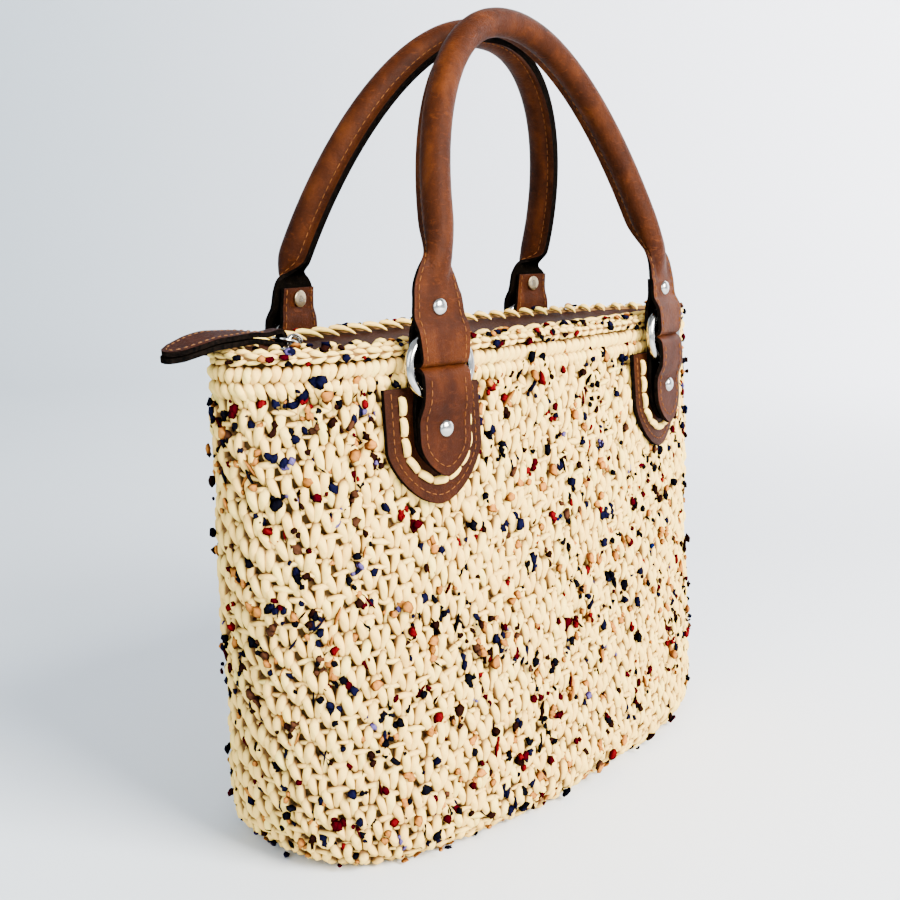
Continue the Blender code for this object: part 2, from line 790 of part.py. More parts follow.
def arch_point(turn, end_place, shape):
    """Middle of the handle, from -1 at its left end to 1 at its right end.

    Where the strap rolls up, the roll stands a little further out than the
    flat strap, and the legs open to the arch's own spread. From there the
    handle leans evenly towards the other one and sways to one side.
    """
    top_z, spread, sway = shape
    angle = turn * pi / 2
    share = max(cos(angle), 0.0) ** (2 / HANDLE_ARCH_TOP)
    rise = (top_z - end_place.z) * share
    rolled = rolled_up(rise)
    half = abs(end_place.x) + (spread - abs(end_place.x)) * rolled
    x = half * signed_power(sin(angle), 2 / HANDLE_ARCH_SIDE) + sway * share
    face = 1 if end_place.y > 0 else -1
    start = end_place.y + face * ROLL_FORWARD * rolled
    y = start + (face * HANDLE_APEX_Y - start) * share ** HANDLE_LEAN
    return Vector((x, y, end_place.z + rise))


def rolled_up(rise):
    """0 where the flat strap ends, 1 where it is a closed roll."""
    return smooth_step(0, OPEN_LENGTH, rise)


def strap_stations(end, face):
    """The folded end of a handle, from its tail to where the arch starts."""
    rivet = STRAP_RIVET_RISE - FOLD_GAP / 2
    bulge = ring_standoff() - RING_WIRE - CLEARANCE - LEATHER / 2
    top = rivet + STRAP_TAIL
    path = loop_path(rivet, top, top, strap_back(), strap_front(), bulge)
    frame = mount_frame(end, face)
    stations = []
    for along, standoff, turn in path:
        rise = FOLD_GAP / 2 + along
        centre = frame @ Vector((0, standoff + wall_lean(rise), rise))
        out = frame.to_3x3() @ Vector((0, cos(turn), -sin(turn)))
        widen = smooth_step(0, STRAP_RIVET_RISE * 0.8, along)
        width = STRAP_FOLD_WIDTH + (STRAP_WIDTH - STRAP_FOLD_WIDTH) * widen
        stations.append((centre, out, 0.0, width / 2))
    return stations


def arch_turns(height):
    """Places along the arch: close together where the strap rolls up."""
    opening = []
    for step in range(1, OPEN_STEPS + 1):
        rise = OPEN_LENGTH * step / OPEN_STEPS
        angle = acos((rise / height) ** (HANDLE_ARCH_TOP / 2))
        opening.append(angle / (pi / 2))
    even = []
    for step in range(ARCH_STEPS + 1):
        turn = opening[-1] * (2 * step / ARCH_STEPS - 1)
        even.append(turn)
    return [-turn for turn in opening[:-1]] + even + opening[-2::-1]


def make_handle(name, face, shape):
    """One leather strap: folded end, flat, roll, flat, folded end."""
    left = strap_stations(-1, face)
    right = strap_stations(1, face)
    end_place = left[-1][0]
    height = shape[0] - end_place.z
    lean = atan2(abs(end_place.y) + ROLL_FORWARD - HANDLE_APEX_Y, height)
    upright = Vector((0, face * cos(lean), sin(lean)))
    stations = list(left)
    for turn in arch_turns(height):
        centre = arch_point(turn, end_place, shape)
        closed = rolled_up(centre.z - end_place.z)
        side = left[-1][1] if turn < 0 else right[-1][1]
        out = side.lerp(upright, closed)
        stations.append((centre, out, closed, STRAP_WIDTH / 2))
    stations += right[::-1]
    rings = []
    for index, (centre, out, closed, half_width) in enumerate(stations):
        before = stations[max(index - 1, 0)][0]
        after = stations[min(index + 1, len(stations) - 1)][0]
        along = (after - before).normalized()
        out = (out - along * out.dot(along)).normalized()
        across = along.cross(out)
        rings.append([centre + across * point.x + out * point.y
                      for point in handle_section(closed, half_width)])
    handle = new_object(name, loft(rings), LEATHER_BROWN)
    drill(handle, -1, face, STRAP_RIVET_RISE)
    drill(handle, 1, face, STRAP_RIVET_RISE)


def main():
    clear_scene()
    make_body()
    make_rim()
    make_panel("zip_panel_front", -1)
    make_panel("zip_panel_back", 1)
    make_chain()
    make_slider()
    make_pull_ring()
    make_pull()
    front_shape = (FRONT_TOP_Z, FRONT_SPREAD, FRONT_SWAY)
    back_shape = (BACK_TOP_Z, BACK_SPREAD, BACK_SWAY)
    for face, face_name, shape in ((-1, "front", front_shape), (1, "back", back_shape)):
        make_handle("handle_" + face_name, face, shape)
        for end, end_name in ((-1, "left"), (1, "right")):
            spot = face_name + "_" + end_name
            make_ring("ring_" + spot, end, face)
            make_tab("tab_" + spot, end, face)
            make_patch("patch_" + spot, end, face)
            make_tab_rivet("tab_rivet_" + spot, end, face)
            make_handle_rivet("handle_rivet_" + spot, end, face)


main()
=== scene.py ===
# %% [markdown]
# # A crocheted handbag with rolled leather handles
#
# The bag is worked from thick cotton yarn with coloured flecks, and its mouth
# closes with a zip between two leather strips. This lesson dresses a finished
# CAD model. The CAD gives every size and place, so the first step is to load
# it and keep its box.

# %% Load the model that carries every piece
from math import acos, atan2, cos, pi, radians, sin

import bpy
import numpy as np
from mathutils import Matrix, Vector


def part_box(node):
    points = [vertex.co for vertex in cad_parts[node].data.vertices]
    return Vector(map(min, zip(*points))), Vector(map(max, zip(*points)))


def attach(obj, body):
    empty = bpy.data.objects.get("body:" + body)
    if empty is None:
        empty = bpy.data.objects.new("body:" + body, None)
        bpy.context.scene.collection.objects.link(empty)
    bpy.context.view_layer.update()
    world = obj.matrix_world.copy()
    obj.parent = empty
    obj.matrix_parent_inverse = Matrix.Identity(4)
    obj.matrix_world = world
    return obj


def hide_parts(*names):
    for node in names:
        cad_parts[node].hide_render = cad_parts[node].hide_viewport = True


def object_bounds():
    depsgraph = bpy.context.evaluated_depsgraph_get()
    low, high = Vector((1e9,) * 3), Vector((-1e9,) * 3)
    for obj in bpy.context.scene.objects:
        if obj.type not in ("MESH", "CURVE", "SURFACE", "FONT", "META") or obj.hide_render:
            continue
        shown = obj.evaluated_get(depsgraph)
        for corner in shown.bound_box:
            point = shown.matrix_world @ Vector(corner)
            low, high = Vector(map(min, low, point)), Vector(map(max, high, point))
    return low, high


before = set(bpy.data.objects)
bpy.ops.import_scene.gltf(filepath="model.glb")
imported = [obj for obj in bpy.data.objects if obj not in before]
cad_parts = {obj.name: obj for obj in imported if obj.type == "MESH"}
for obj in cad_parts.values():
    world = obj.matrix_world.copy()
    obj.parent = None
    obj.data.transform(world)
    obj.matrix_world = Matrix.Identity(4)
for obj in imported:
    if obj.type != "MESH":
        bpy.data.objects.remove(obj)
cad_low, cad_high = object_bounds()
cad_size = cad_high - cad_low
print("model in mm:", [round(side * 1000, 1) for side in cad_size])

# %% [markdown]
# ## The camera
#
# The photograph was taken from the bag's left front corner, a little above its
# middle. The camera stands at those angles, and its lens gives the same change
# of size from the near end of the bag to the far one.

# %% Set the camera
CAMERA_TURN = radians(-49.93)
CAMERA_RISE = radians(10.56)
CAMERA_TILT = radians(-0.09)
CAMERA_DISTANCE = 0.56092
CAMERA_LENS_MM = 49.72
LOOK_AT = Vector((-0.02844, 0.0, 0.15284))

back_to_camera = Vector((sin(CAMERA_TURN) * cos(CAMERA_RISE),
                         -cos(CAMERA_TURN) * cos(CAMERA_RISE), sin(CAMERA_RISE)))
bpy.ops.object.camera_add(location=LOOK_AT + back_to_camera * CAMERA_DISTANCE)
camera = bpy.context.object
facing = (-back_to_camera).to_track_quat("-Z", "Y").to_matrix()
camera.rotation_euler = (facing @ Matrix.Rotation(CAMERA_TILT, 3, "Z")).to_euler()
camera.data.lens = CAMERA_LENS_MM
camera.data.sensor_width = 36.0
bpy.context.scene.camera = camera
print("camera is", round(camera.location.z * 1000), "mm above the floor")

# %% [markdown]
# ## Shader maths as plain expressions
#
# A finish such as leather is a sum of patterns. Wiring Math nodes by hand
# hides that sum, so a small class wraps a socket: `mask * 0.5 + grain` adds
# the Math nodes itself. Colours can't go through Math nodes, which keep only
# one number, so they have their own methods.

# %% A socket that can be added and multiplied
class Signal:
    """A number or colour that comes out of a node."""

    def __init__(self, finish, socket):
        self.finish = finish
        self.socket = socket

    def math(self, operation, *values):
        inputs = dict(enumerate(values))
        return self.finish.node("ShaderNodeMath", {"operation": operation}, inputs)

    def wave(self):
        """A smooth wave from 0 to 1 as this number runs through 2 pi."""
        return self.math("SINE", self, 0.0) * 0.5 + 0.5

    def between(self, low, high):
        """0 below low, 1 above high and a smooth step in between."""
        settings = {"interpolation_type": "SMOOTHSTEP"}
        inputs = {"Value": self, "From Min": low, "From Max": high}
        return self.finish.node("ShaderNodeMapRange", settings, inputs)


def operator(operation, turned_round):
    """A method for one sign, with its two values in order or turned round."""
    def method(self, other):
        values = (other, self) if turned_round else (self, other)
        return self.math(operation, *values)
    return method


for sign, operation in {"add": "ADD", "sub": "SUBTRACT", "mul": "MULTIPLY"}.items():
    setattr(Signal, f"__{sign}__", operator(operation, False))
    setattr(Signal, f"__r{sign}__", operator(operation, True))


# %% A material that is built from signals
class Finish:
    """One material: a Principled shader and the nodes that feed it."""

    def __init__(self, name, **sockets):
        self.material = bpy.data.materials.new(name)
        self.material.use_nodes = True
        self.tree = self.material.node_tree
        self.shader = self.tree.nodes["Principled BSDF"]
        for socket, value in sockets.items():
            self.shader.inputs[socket.replace("_", " ")].default_value = value

    def give(self, socket, value):
        """Link a signal to a socket, or set a plain value on it."""
        if isinstance(value, Signal):
            self.tree.links.new(value.socket, socket)
        else:
            socket.default_value = value

    def node(self, kind, settings=None, inputs=None, output=0):
        """Any node: its settings first, then its sockets by name or number."""
        made = self.tree.nodes.new(kind)
        for setting, value in (settings or {}).items():
            if setting == "stops":
                fill_ramp(made.color_ramp, value)
            else:
                setattr(made, setting, value)
        for socket, value in (inputs or {}).items():
            self.give(made.inputs[socket], value)
        return Signal(self, made.outputs[output])

    def places(self):
        return self.node("ShaderNodeTexCoord", output="Object")

    def axis(self, where, number):
        """One axis of a place or of a map."""
        return self.node("ShaderNodeSeparateXYZ", {}, {0: where}, number)

    def stretched(self, where, scale):
        """Coordinates multiplied by a number for each axis."""
        inputs = {0: where, 1: scale}
        return self.node("ShaderNodeVectorMath", {"operation": "MULTIPLY"}, inputs)

    def noise(self, where, scale, detail=3.0, roughness=0.55, distortion=0.0):
        inputs = {"Vector": where, "Scale": scale, "Detail": detail,
                  "Roughness": roughness, "Distortion": distortion}
        return self.node("ShaderNodeTexNoise", {}, inputs)

    def cells(self, where, scale):
        return self.node("ShaderNodeTexVoronoi", {}, {"Vector": where, "Scale": scale})

    def ramp(self, value, *stops):
        """A colour for each level of a number, as (level, colour) stops."""
        return self.node("ShaderNodeValToRGB", {"stops": stops}, {0: value})

    def mix(self, share, first, second, blend="MIX"):
        """Two colours mixed by a share from 0 to 1."""
        settings = {"data_type": "RGBA", "blend_type": blend}
        inputs = {0: share, 6: first, 7: second}
        return self.node("ShaderNodeMix", settings, inputs, output=2)

    def attribute(self, name, output="Color"):
        return self.node("ShaderNodeAttribute", {"attribute_name": name}, {}, output)

    def paint(self, socket, value):
        self.give(self.shader.inputs[socket], value)

    def bump(self, height, distance, strength=1.0):
        """Relief of a real height, in metres, on the shader's normal."""
        inputs = {"Height": height, "Distance": distance, "Strength": strength}
        self.paint("Normal", self.node("ShaderNodeBump", {}, inputs))


def fill_ramp(ramp, stops):
    """Set a colour ramp's stops."""
    while len(ramp.elements) < len(stops):
        ramp.elements.new(0.5)
    for element, (level, colour) in zip(ramp.elements, stops):
        element.position = level
        element.color = (*colour, 1.0)


print("finishes are built from signals")

# %% [markdown]
# ## Yarn
#
# The bag's yarn is soft cream cotton, three strands twisted together. Every
# piece made of it carries a colour on its points: its own tint, and in the
# fourth number how far the point stands out of the work. One finish then
# serves cream stitches and coloured flecks. Deep points turn tan, because
# light that reaches them has bounced off yarn on the way.

# %% Mix the yarn
CREAM = (1.00, 0.645, 0.152)
HOLLOW_SHADE = (0.158, 0.122, 0.170)
SKIN_TINT = (0.52, 0.36, 0.08)
PLIES = 3
PLY_TURNS = 3.0
DEEP_TO_TOP = (0.26, 0.90)
YARN_RELIEF = 0.00035


def make_yarn():
    yarn = Finish("cotton_yarn", Roughness=0.9, Specular_IOR_Level=0.0)
    tint = yarn.attribute("yarn")
    stand = yarn.attribute("yarn", "Alpha")
    strand = yarn.node("ShaderNodeUVMap", {"uv_map": "strand"})
    around = yarn.axis(strand, 0)
    along = yarn.axis(strand, 1)
    ply = ((around * PLIES + along * PLY_TURNS) * (2 * pi)).wave()
    fibres = yarn.noise(yarn.stretched(strand, (26.0, 3.0, 1.0)), 3.0, 2.0)
    cloud = yarn.noise(yarn.places(), 160.0, 2.0)
    # Painted shade: the lower a point stands, the more its tint is multiplied by the hollow
    # shade colour.
    deep = yarn.mix(1.0, tint, (*HOLLOW_SHADE, 1.0), "MULTIPLY")
    depth_shaded = yarn.mix(stand.between(*DEEP_TO_TOP), deep, tint)
    patchy = (cloud * 0.5 + fibres * 0.5).between(0.35, 0.75) * 0.14
    yarn.paint("Base Color", yarn.mix(patchy, depth_shaded, deep))
    yarn.bump(ply * 0.55 + fibres * 0.45, YARN_RELIEF, 0.8)
    return yarn.material


yarn_finish = make_yarn()
print("yarn is", yarn_finish.name)

# %% [markdown]
# ## The body's own surface
#
# The plan of the bag is a rounded oval that grows from the base to the mouth
# and gets thinner on the way. Crochet is worked round and round it. So a place
# on the bag is given as a share of the way round, a distance up the wall, and
# a distance out of it. Below zero, up runs in under the base. One function
# turns such places into points, and every stitch goes through it.

# %% Describe the wall
BODY_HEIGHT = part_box("rim_braid")[1].z
HALF_LENGTHS = (0.141, 0.1535, 0.160)
HALF_DEPTHS = (0.065, 0.0495, 0.039)
SQUARENESS = (2.68, 2.18)
BASE_EDGE_RADIUS = 0.014
EDGE_ARC = BASE_EDGE_RADIUS * pi / 2
BASE_REACH = 0.046
ROUND_STEPS = 1472
UP_STEP = 0.001


def through_three(values, share):
    """A parabola through three values at shares 0, one half and 1."""
    low, middle, high = values
    bend = 2 * (low + high) - 4 * middle
    return low + (high - low - bend) * share + bend * share * share


def plan_at(z):
    """Half length, half depth and squareness of the plan at a height."""
    share = z / BODY_HEIGHT
    squareness = SQUARENESS[0] + (SQUARENESS[1] - SQUARENESS[0]) * share
    return through_three(HALF_LENGTHS, share), through_three(HALF_DEPTHS, share), squareness


def depth_at(x, z, inset=0.0):
    """Distance from the middle plane to the wall."""
    length, depth, square = plan_at(z)
    share = np.minimum(np.abs(x) / (length - inset), 1.0)
    return (depth - inset) * (1 - share ** square) ** (1 / square)


def walked_along(path):
    """How far each point of a path is from its start."""
    steps = np.linalg.norm(np.diff(path, axis=0), axis=1)
    return np.concatenate([[0], np.cumsum(steps)])


def read_table(places, known, table):
    """Rows of a table at any places, between those where it is known."""
    return np.stack([np.interp(places, known, column) for column in table.T], 1)


def even_ring(z, inset):
    """Points at even distances round the plan, and the plan's length."""
    length, depth, square = plan_at(z)
    angles = np.linspace(0, 2 * pi, 4 * ROUND_STEPS + 1)
    swell = lambda wave: np.sign(wave) * np.abs(wave) ** (2 / square)
    outline = np.stack([(length - inset) * swell(np.cos(angles)),
                        (depth - inset) * swell(np.sin(angles))], 1)
    walked = walked_along(outline)
    marks = np.linspace(0, walked[-1], ROUND_STEPS + 1)[:-1]
    return read_table(marks, walked, outline), walked[-1]


def wall_station(up):
    """Height and inset of the wall at a distance up it."""
    if up < 0:
        return 0.0, BASE_EDGE_RADIUS - up
    if up < EDGE_ARC:
        angle = up / BASE_EDGE_RADIUS
        return BASE_EDGE_RADIUS * (1 - cos(angle)), BASE_EDGE_RADIUS * (1 - sin(angle))
    return BASE_EDGE_RADIUS + up - EDGE_ARC, 0.0


WALL_REACH = EDGE_ARC + BODY_HEIGHT - BASE_EDGE_RADIUS
ups = np.arange(-BASE_REACH, WALL_REACH + UP_STEP, UP_STEP)
wall_points = np.zeros((len(ups), ROUND_STEPS, 3))
wall_rounds = np.zeros(len(ups))
for row, up in enumerate(ups):
    height, inset = wall_station(up)
    ring, wall_rounds[row] = even_ring(height, inset)
    wall_points[row, :, :2] = ring
    wall_points[row, :, 2] = height
round_steps = np.roll(wall_points, -1, 1) - np.roll(wall_points, 1, 1)
wall_normals = np.cross(round_steps, np.gradient(wall_points, axis=0))
wall_normals /= np.linalg.norm(wall_normals, axis=2, keepdims=True)
print("the wall is", round(wall_rounds[-1] * 1000), "mm round at the mouth")


# %% Turn places on the wall into points
def sample(table, row, column):
    """Read a table between its rows and columns; columns go round."""
    row = np.clip(row, 0, len(table) - 1.001)
    low_row = row.astype(int)
    left = np.floor(column).astype(int)
    down = (row - low_row)[:, None]
    over = (column - left)[:, None]
    left = left % ROUND_STEPS
    right = (left + 1) % ROUND_STEPS
    first = table[low_row, left] * (1 - over) + table[low_row, right] * over
    second = table[low_row + 1, left] * (1 - over) + table[low_row + 1, right] * over
    return first * (1 - down) + second * down


def on_wall(share, along, up, out):
    """Points at a share of the way round, plus metres along, up and out."""
    row = (up + BASE_REACH) / UP_STEP
    around = np.interp(row, np.arange(len(ups)), wall_rounds)
    column = (share + along / around) * ROUND_STEPS
    base = sample(wall_points, row, column)
    normal = sample(wall_normals, row, column)
    normal /= np.linalg.norm(normal, axis=1, keepdims=True)
    return base + normal * out[:, None]


print("one point of the wall:", on_wall(*np.array([[0.75], [0.0], [0.1], [0.0]])).round(3))

# %% [markdown]
# ## Laying many stitches
#
# A stitch leg is a plump grain of yarn. It is modelled once as a sphere with
# few faces, then shaped by moving its rings. Thousands of copies are laid with
# arrays, because an object for each would be slow. Every copy is its own
# geometry in one joined mesh, with its strand map and its tint.

# %% Model a grain and lay its copies
def read_points(mesh):
    """A mesh's points as rows of x, y and z."""
    points = np.zeros(len(mesh.vertices) * 3)
    mesh.vertices.foreach_get("co", points)
    return points.reshape(-1, 3)


def move_points(mesh, points):
    mesh.vertices.foreach_set("co", points.astype(np.float32).ravel())
    mesh.update()


def fit(piece, slot, node=None):
    """Let a piece ride on the bag and hide the CAD part that it stands for; slot is not used.
    """
    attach(piece, "root")
    if node:
        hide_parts(node)
    return piece


def bake(scale=(1.0, 1.0, 1.0)):
    """Put the new object's place, turn and scale into its points."""
    made = bpy.context.object
    made.scale = scale
    bpy.ops.object.transform_apply(location=True, rotation=True, scale=True)
    return made


def grain(sides, rings):
    """A unit grain of yarn, from -1 to 1 along its strand, which is Y."""
    bpy.ops.mesh.primitive_uv_sphere_add(segments=sides, ring_count=rings,
                                         radius=1.0, rotation=(-pi / 2, 0, 0))
    form = bake()
    points = read_points(form.data)
    faces = [tuple(polygon.vertices) for polygon in form.data.polygons]
    strand = np.zeros(len(form.data.loops) * 2)
    form.data.uv_layers.active.data.foreach_get("uv", strand)
    bpy.data.objects.remove(form)
    return points, faces, strand.reshape(-1, 2)


def join_copies(name, template, points, tints, slot, node=None):
    """One mesh from copies of a template; tints are (red, green, blue, stand)."""
    _, faces, strand = template
    copies, count = points.shape[:2]
    sizes = np.array([len(face) for face in faces])
    corners = np.concatenate([np.array(face) for face in faces])
    loops = (corners[None, :] + np.arange(copies)[:, None] * count).ravel()
    mesh = bpy.data.meshes.new(name)
    mesh.vertices.add(copies * count)
    mesh.vertices.foreach_set("co", points.astype(np.float32).ravel())
    mesh.loops.add(len(loops))
    mesh.loops.foreach_set("vertex_index", loops.astype(np.int32))
    sizes = np.tile(sizes, copies)
    starts = np.concatenate([[0], np.cumsum(sizes)[:-1]])
    mesh.polygons.add(len(sizes))
    mesh.polygons.foreach_set("loop_start", starts.astype(np.int32))
    mesh.update(calc_edges=True)
    mesh.shade_smooth()
    layer = mesh.uv_layers.new(name="strand")
    layer.data.foreach_set("uv", np.tile(strand, (copies, 1)).astype(np.float32).ravel())
    colours = mesh.color_attributes.new("yarn", "FLOAT_COLOR", "POINT")
    colours.data.foreach_set("color", tints.astype(np.float32).ravel())
    piece = bpy.data.objects.new(name, mesh)
    bpy.context.scene.collection.objects.link(piece)
    piece.data.materials.append(yarn_finish)
    return fit(piece, slot, node)


def axes(template):
    """A grain's x, y and z, ready to be laid in many copies."""
    return template[0].T[:, None, :]


def coloured(tint, template, slope=1.3, level=-0.05):
    """Each copy's tint on all its points, and how far each point stands out."""
    colours = np.zeros((len(tint), len(template[0]), 4))
    colours[:, :, :3] = tint[:, None]
    # The stand drives the yarn finish's painted shade: low points are painted darker and
    # tanner.
    colours[:, :, 3] = np.clip(template[0][:, 2] * slope + level, 0, 1)
    return colours


def lay_on(surface, name, template, share, laid, tint, slot="cream_yarn", node=None):
    """Put laid copies through a surface, none of them under the floor."""
    share = np.repeat(share, laid[0].shape[1])
    points = surface(share, *(part.ravel() for part in laid))
    points[:, 2] = np.maximum(points[:, 2], 0.0)
    points = points.reshape(*laid[0].shape, 3)
    return join_copies(name, template, points, coloured(tint, template), slot, node)


def turned(x, y, angle):
    """Plane coordinates turned by an angle, one angle for each copy."""
    return (x * np.cos(angle) - y * np.sin(angle),
            x * np.sin(angle) + y * np.cos(angle))


leg_grain = grain(8, 6)
small_grain = grain(6, 4)
print("a leg has", len(leg_grain[1]), "faces")

# %% [markdown]
# ## Sheets carried into place
#
# Leather, tape and the skin under the stitches all start as a flat grid, as
# the real ones start as a flat piece. A function of the grid's two
# coordinates then carries each point to its place, and the grid's own UV map
# stays on it, so a finish can follow the sheet.

# %% Carry a flat grid into place
def carried_sheet(name, columns, rows, carry):
    """A grid whose points are carried by a function of (u, v), both 0 to 1."""
    bpy.ops.mesh.primitive_grid_add(x_subdivisions=columns, y_subdivisions=rows, size=1)
    sheet = bpy.context.object
    sheet.name = name
    flat = np.clip(read_points(sheet.data) + 0.5, 0, 1)
    move_points(sheet.data, carry(flat[:, 0], flat[:, 1]))
    sheet.data.shade_smooth()
    return sheet


def select_only(piece):
    bpy.ops.object.select_all(action="DESELECT")
    piece.select_set(True)
    bpy.context.view_layer.objects.active = piece


def join(first, *others):
    """Join pieces into the first of them."""
    select_only(first)
    for other in others:
        other.select_set(True)
    bpy.ops.object.join()


def in_edit_mode(piece, *steps):
    """Run edit-mode operators on all of one piece."""
    select_only(piece)
    bpy.ops.object.mode_set(mode="EDIT")
    bpy.ops.mesh.select_all(action="SELECT")
    for step in steps:
        step()
    bpy.ops.object.mode_set(mode="OBJECT")


def merge(distance=0.00002):
    return lambda: bpy.ops.mesh.remove_doubles(threshold=distance)


def face_outwards():
    bpy.ops.mesh.normals_make_consistent(inside=False)


def finish_with(piece, kind, **settings):
    """Add a modifier with its settings and apply it."""
    select_only(piece)
    step = piece.modifiers.new(kind.title(), kind)
    for setting, value in settings.items():
        setattr(step, setting, value)
    bpy.ops.object.modifier_apply(modifier=step.name)


def dress(piece, *materials):
    piece.data.materials.clear()
    for material in materials:
        piece.data.materials.append(material)


# %% [markdown]
# ## The skin under the stitches
#
# Between the plump legs one sees deeper yarn. A closed skin a little inside
# the wall stands for it, and it keeps the bag from being see-through. Its
# tint is the tan of deep yarn at no stand at all, so it takes the yarn's full
# painted shade.

# %% Make the skin
SKIN_DEPTH = 0.0042
SKIN_WALL = 0.0015
SKIN_TOP_DROP = 0.004
SKIN_COLUMNS = 184
SKIN_ROWS = 60


def carry_skin(u, v):
    up = -BASE_REACH + v * (WALL_REACH - SKIN_TOP_DROP + BASE_REACH)
    return on_wall(u, 0 * u, up, 0 * u - SKIN_DEPTH)


def tint_all(piece, colour, stand):
    """Give every point of a piece one tint and one stand."""
    layer = piece.data.color_attributes.new("yarn", "FLOAT_COLOR", "POINT")
    values = np.tile(np.array((*colour, stand)), (len(piece.data.vertices), 1))
    layer.data.foreach_set("color", values.astype(np.float32).ravel())
    piece.data.uv_layers.active.name = "strand"


def raise_from_floor(piece, lowest):
    """Lift every point that is lower than the lowest height allowed."""
    points = read_points(piece.data)
    points[:, 2] = np.maximum(points[:, 2], lowest)
    move_points(piece.data, points)


skin = carried_sheet("under_skin", SKIN_COLUMNS, SKIN_ROWS, carry_skin)
in_edit_mode(skin, merge())
raise_from_floor(skin, SKIN_DEPTH / 2)
finish_with(skin, "SOLIDIFY", thickness=SKIN_WALL, offset=-1.0)
# At no stand the skin takes the yarn finish's full painted shade.
tint_all(skin, SKIN_TINT, 0.0)
dress(skin, yarn_finish)
fit(skin, "cream_yarn")
print("skin has", len(skin.data.polygons), "faces")

# %% [markdown]
# ## The stitches
#
# The work is a close fabric of V stitches. Each V is two legs that meet low
# and part high. Neighbouring columns stand half a stitch apart, and because
# the work spirals, the columns lean: one stitch lower is a little further
# round. No two legs are quite the same, so each copy gets its own small
# turn, size and stand from a seeded generator.

# %% Work the V stitches
COLUMNS = 92
STITCH_RISE = 0.009585
STITCH_DRIFT = 0.00269
LEG_HALF_WIDTH = 0.00242
LEG_HALF_LENGTH = 0.0058
LEG_HALF_THICK = 0.0027
LEG_LOW_APART = 0.0005
LEG_HIGH_APART = 0.0031
LEG_SINK = 0.0029
LEG_BOW = 0.0009
LEG_FOOT_DIP = 0.0014
LEG_HEAD_DIP = 0.0004
VS_TOP = WALL_REACH - 0.0228
VS_LOW = 0.0010
LEG_SPREADS = {"up": 0.00035, "along": 0.0003, "out": 0.00035, "turn": 0.10,
               "wide": 0.07, "long": 0.05}
RIPPLE = 0.0006
TOP_ROW_DIP = 0.0012
LIGHT_SPREAD = 0.045
WARM_SPREAD = 0.05
chance = np.random.default_rng(23)


def vary(count, spread):
    """Small differences from copy to copy, none of them large."""
    return np.clip(chance.normal(0.0, spread, count), -2.2 * spread, 2.2 * spread)


def leg_points(template, places):
    """Legs laid on the wall; places has named columns of equal length."""
    x, y, z = axes(template)
    shape = {key: value[:, None] for key, value in places.items()}
    rise = (y + 1) / 2
    plump = np.sqrt(np.maximum(1 - y * y, 0)) + 1e-6
    fuller = plump ** -0.42 * (0.70 + 0.30 * np.minimum(rise * 1.5, 1.0))
    across = x * LEG_HALF_WIDTH * fuller * shape["wide"]
    strand = y * LEG_HALF_LENGTH * shape["long"]
    apart = LEG_LOW_APART + (LEG_HIGH_APART - LEG_LOW_APART) * rise ** 0.8
    bow = (LEG_BOW * np.sin(pi * rise) - LEG_FOOT_DIP * (1 - rise) ** 2
           - LEG_HEAD_DIP * rise ** 3)
    out = z * LEG_HALF_THICK * fuller * shape["wide"] + bow
    along = across + shape["side"] * apart
    along, up = turned(along, strand + 0 * x, shape["turn"])
    out = out + shape["out"] - LEG_SINK
    return along + shape["along"], up + shape["up"], out + 0 * along


def cream_tints(count):
    """Cream that is a little lighter or warmer from leg to leg."""
    light = 1 + vary(count, LIGHT_SPREAD)[:, None]
    warm = vary(count, WARM_SPREAD)[:, None] * np.array([[0.0, -0.5, -1.0]])
    return np.clip(np.array([CREAM]) * light * (1 + warm), 0, 1)


def varied(share, spreads, **middles):
    """Places of legs round middle values; spreads says how far each goes off."""
    places = {"share": share}
    for key, middle in middles.items():
        off = vary(len(share), spreads[key]) if key in spreads else 0 * share
        places[key] = middle + off
    return places


def lay_legs(name, template, places, node=None):
    """Cream legs on the wall."""
    laid = leg_points(template, places)
    tint = cream_tints(len(places["share"]))
    return lay_on(on_wall, name, template, places["share"], laid, tint, node=node)


def v_places(first_share, last_share):
    """Where the V stitches stand between two shares of the way round."""
    rows = int((VS_TOP - VS_LOW) / STITCH_RISE)
    share, down = [], []
    for column in range(COLUMNS):
        if first_share <= column / COLUMNS < last_share:
            for row in range(rows + 2):
                share.append(column / COLUMNS)
                down.append((row - 0.5 * (column % 2)) * STITCH_RISE)
    share, down = np.array(share), np.array(down)
    keep = VS_TOP - down > VS_LOW
    return share[keep], down[keep]


def work_vs(name, first_share, last_share, node=None):
    share, down = v_places(first_share, last_share)
    share, down = np.repeat(share, 2), np.repeat(down, 2)
    ripple = RIPPLE * np.sin(share * 2 * pi * 7 + down * 60)
    dip = TOP_ROW_DIP * (down < 0.2 * STITCH_RISE)
    places = varied(share, LEG_SPREADS, side=np.tile([-1.0, 1.0], len(share) // 2),
                    up=VS_TOP - down, along=-STITCH_DRIFT * down / STITCH_RISE,
                    out=ripple - dip, turn=0.0, wide=1.0, long=1.0)
    return lay_legs(name, leg_grain, places, node)


BAR_HALF_LENGTH = 0.0056
BAR_HALF_WIDTH = 0.00145
BAR_DROP = 0.0056
BAR_SINK = 0.0026


def work_bars():
    """Short strands that cross behind the foot of each V."""
    share, down = v_places(0.0, 1.0)
    count = len(share)
    x, y, z = axes(small_grain)
    wide = (1 + vary(count, 0.15))[:, None]
    across, up = turned(y * BAR_HALF_LENGTH + 0 * wide, x * BAR_HALF_WIDTH * wide,
                        vary(count, 0.14)[:, None])
    out = z * BAR_HALF_WIDTH * wide - BAR_SINK + vary(count, 0.0004)[:, None]
    along = -STITCH_DRIFT * down / STITCH_RISE + vary(count, 0.0005)
    laid = (across + along[:, None], up + (VS_TOP - down - BAR_DROP)[:, None], out)
    return lay_on(on_wall, "crochet_bars", small_grain, share, laid, cream_tints(count))


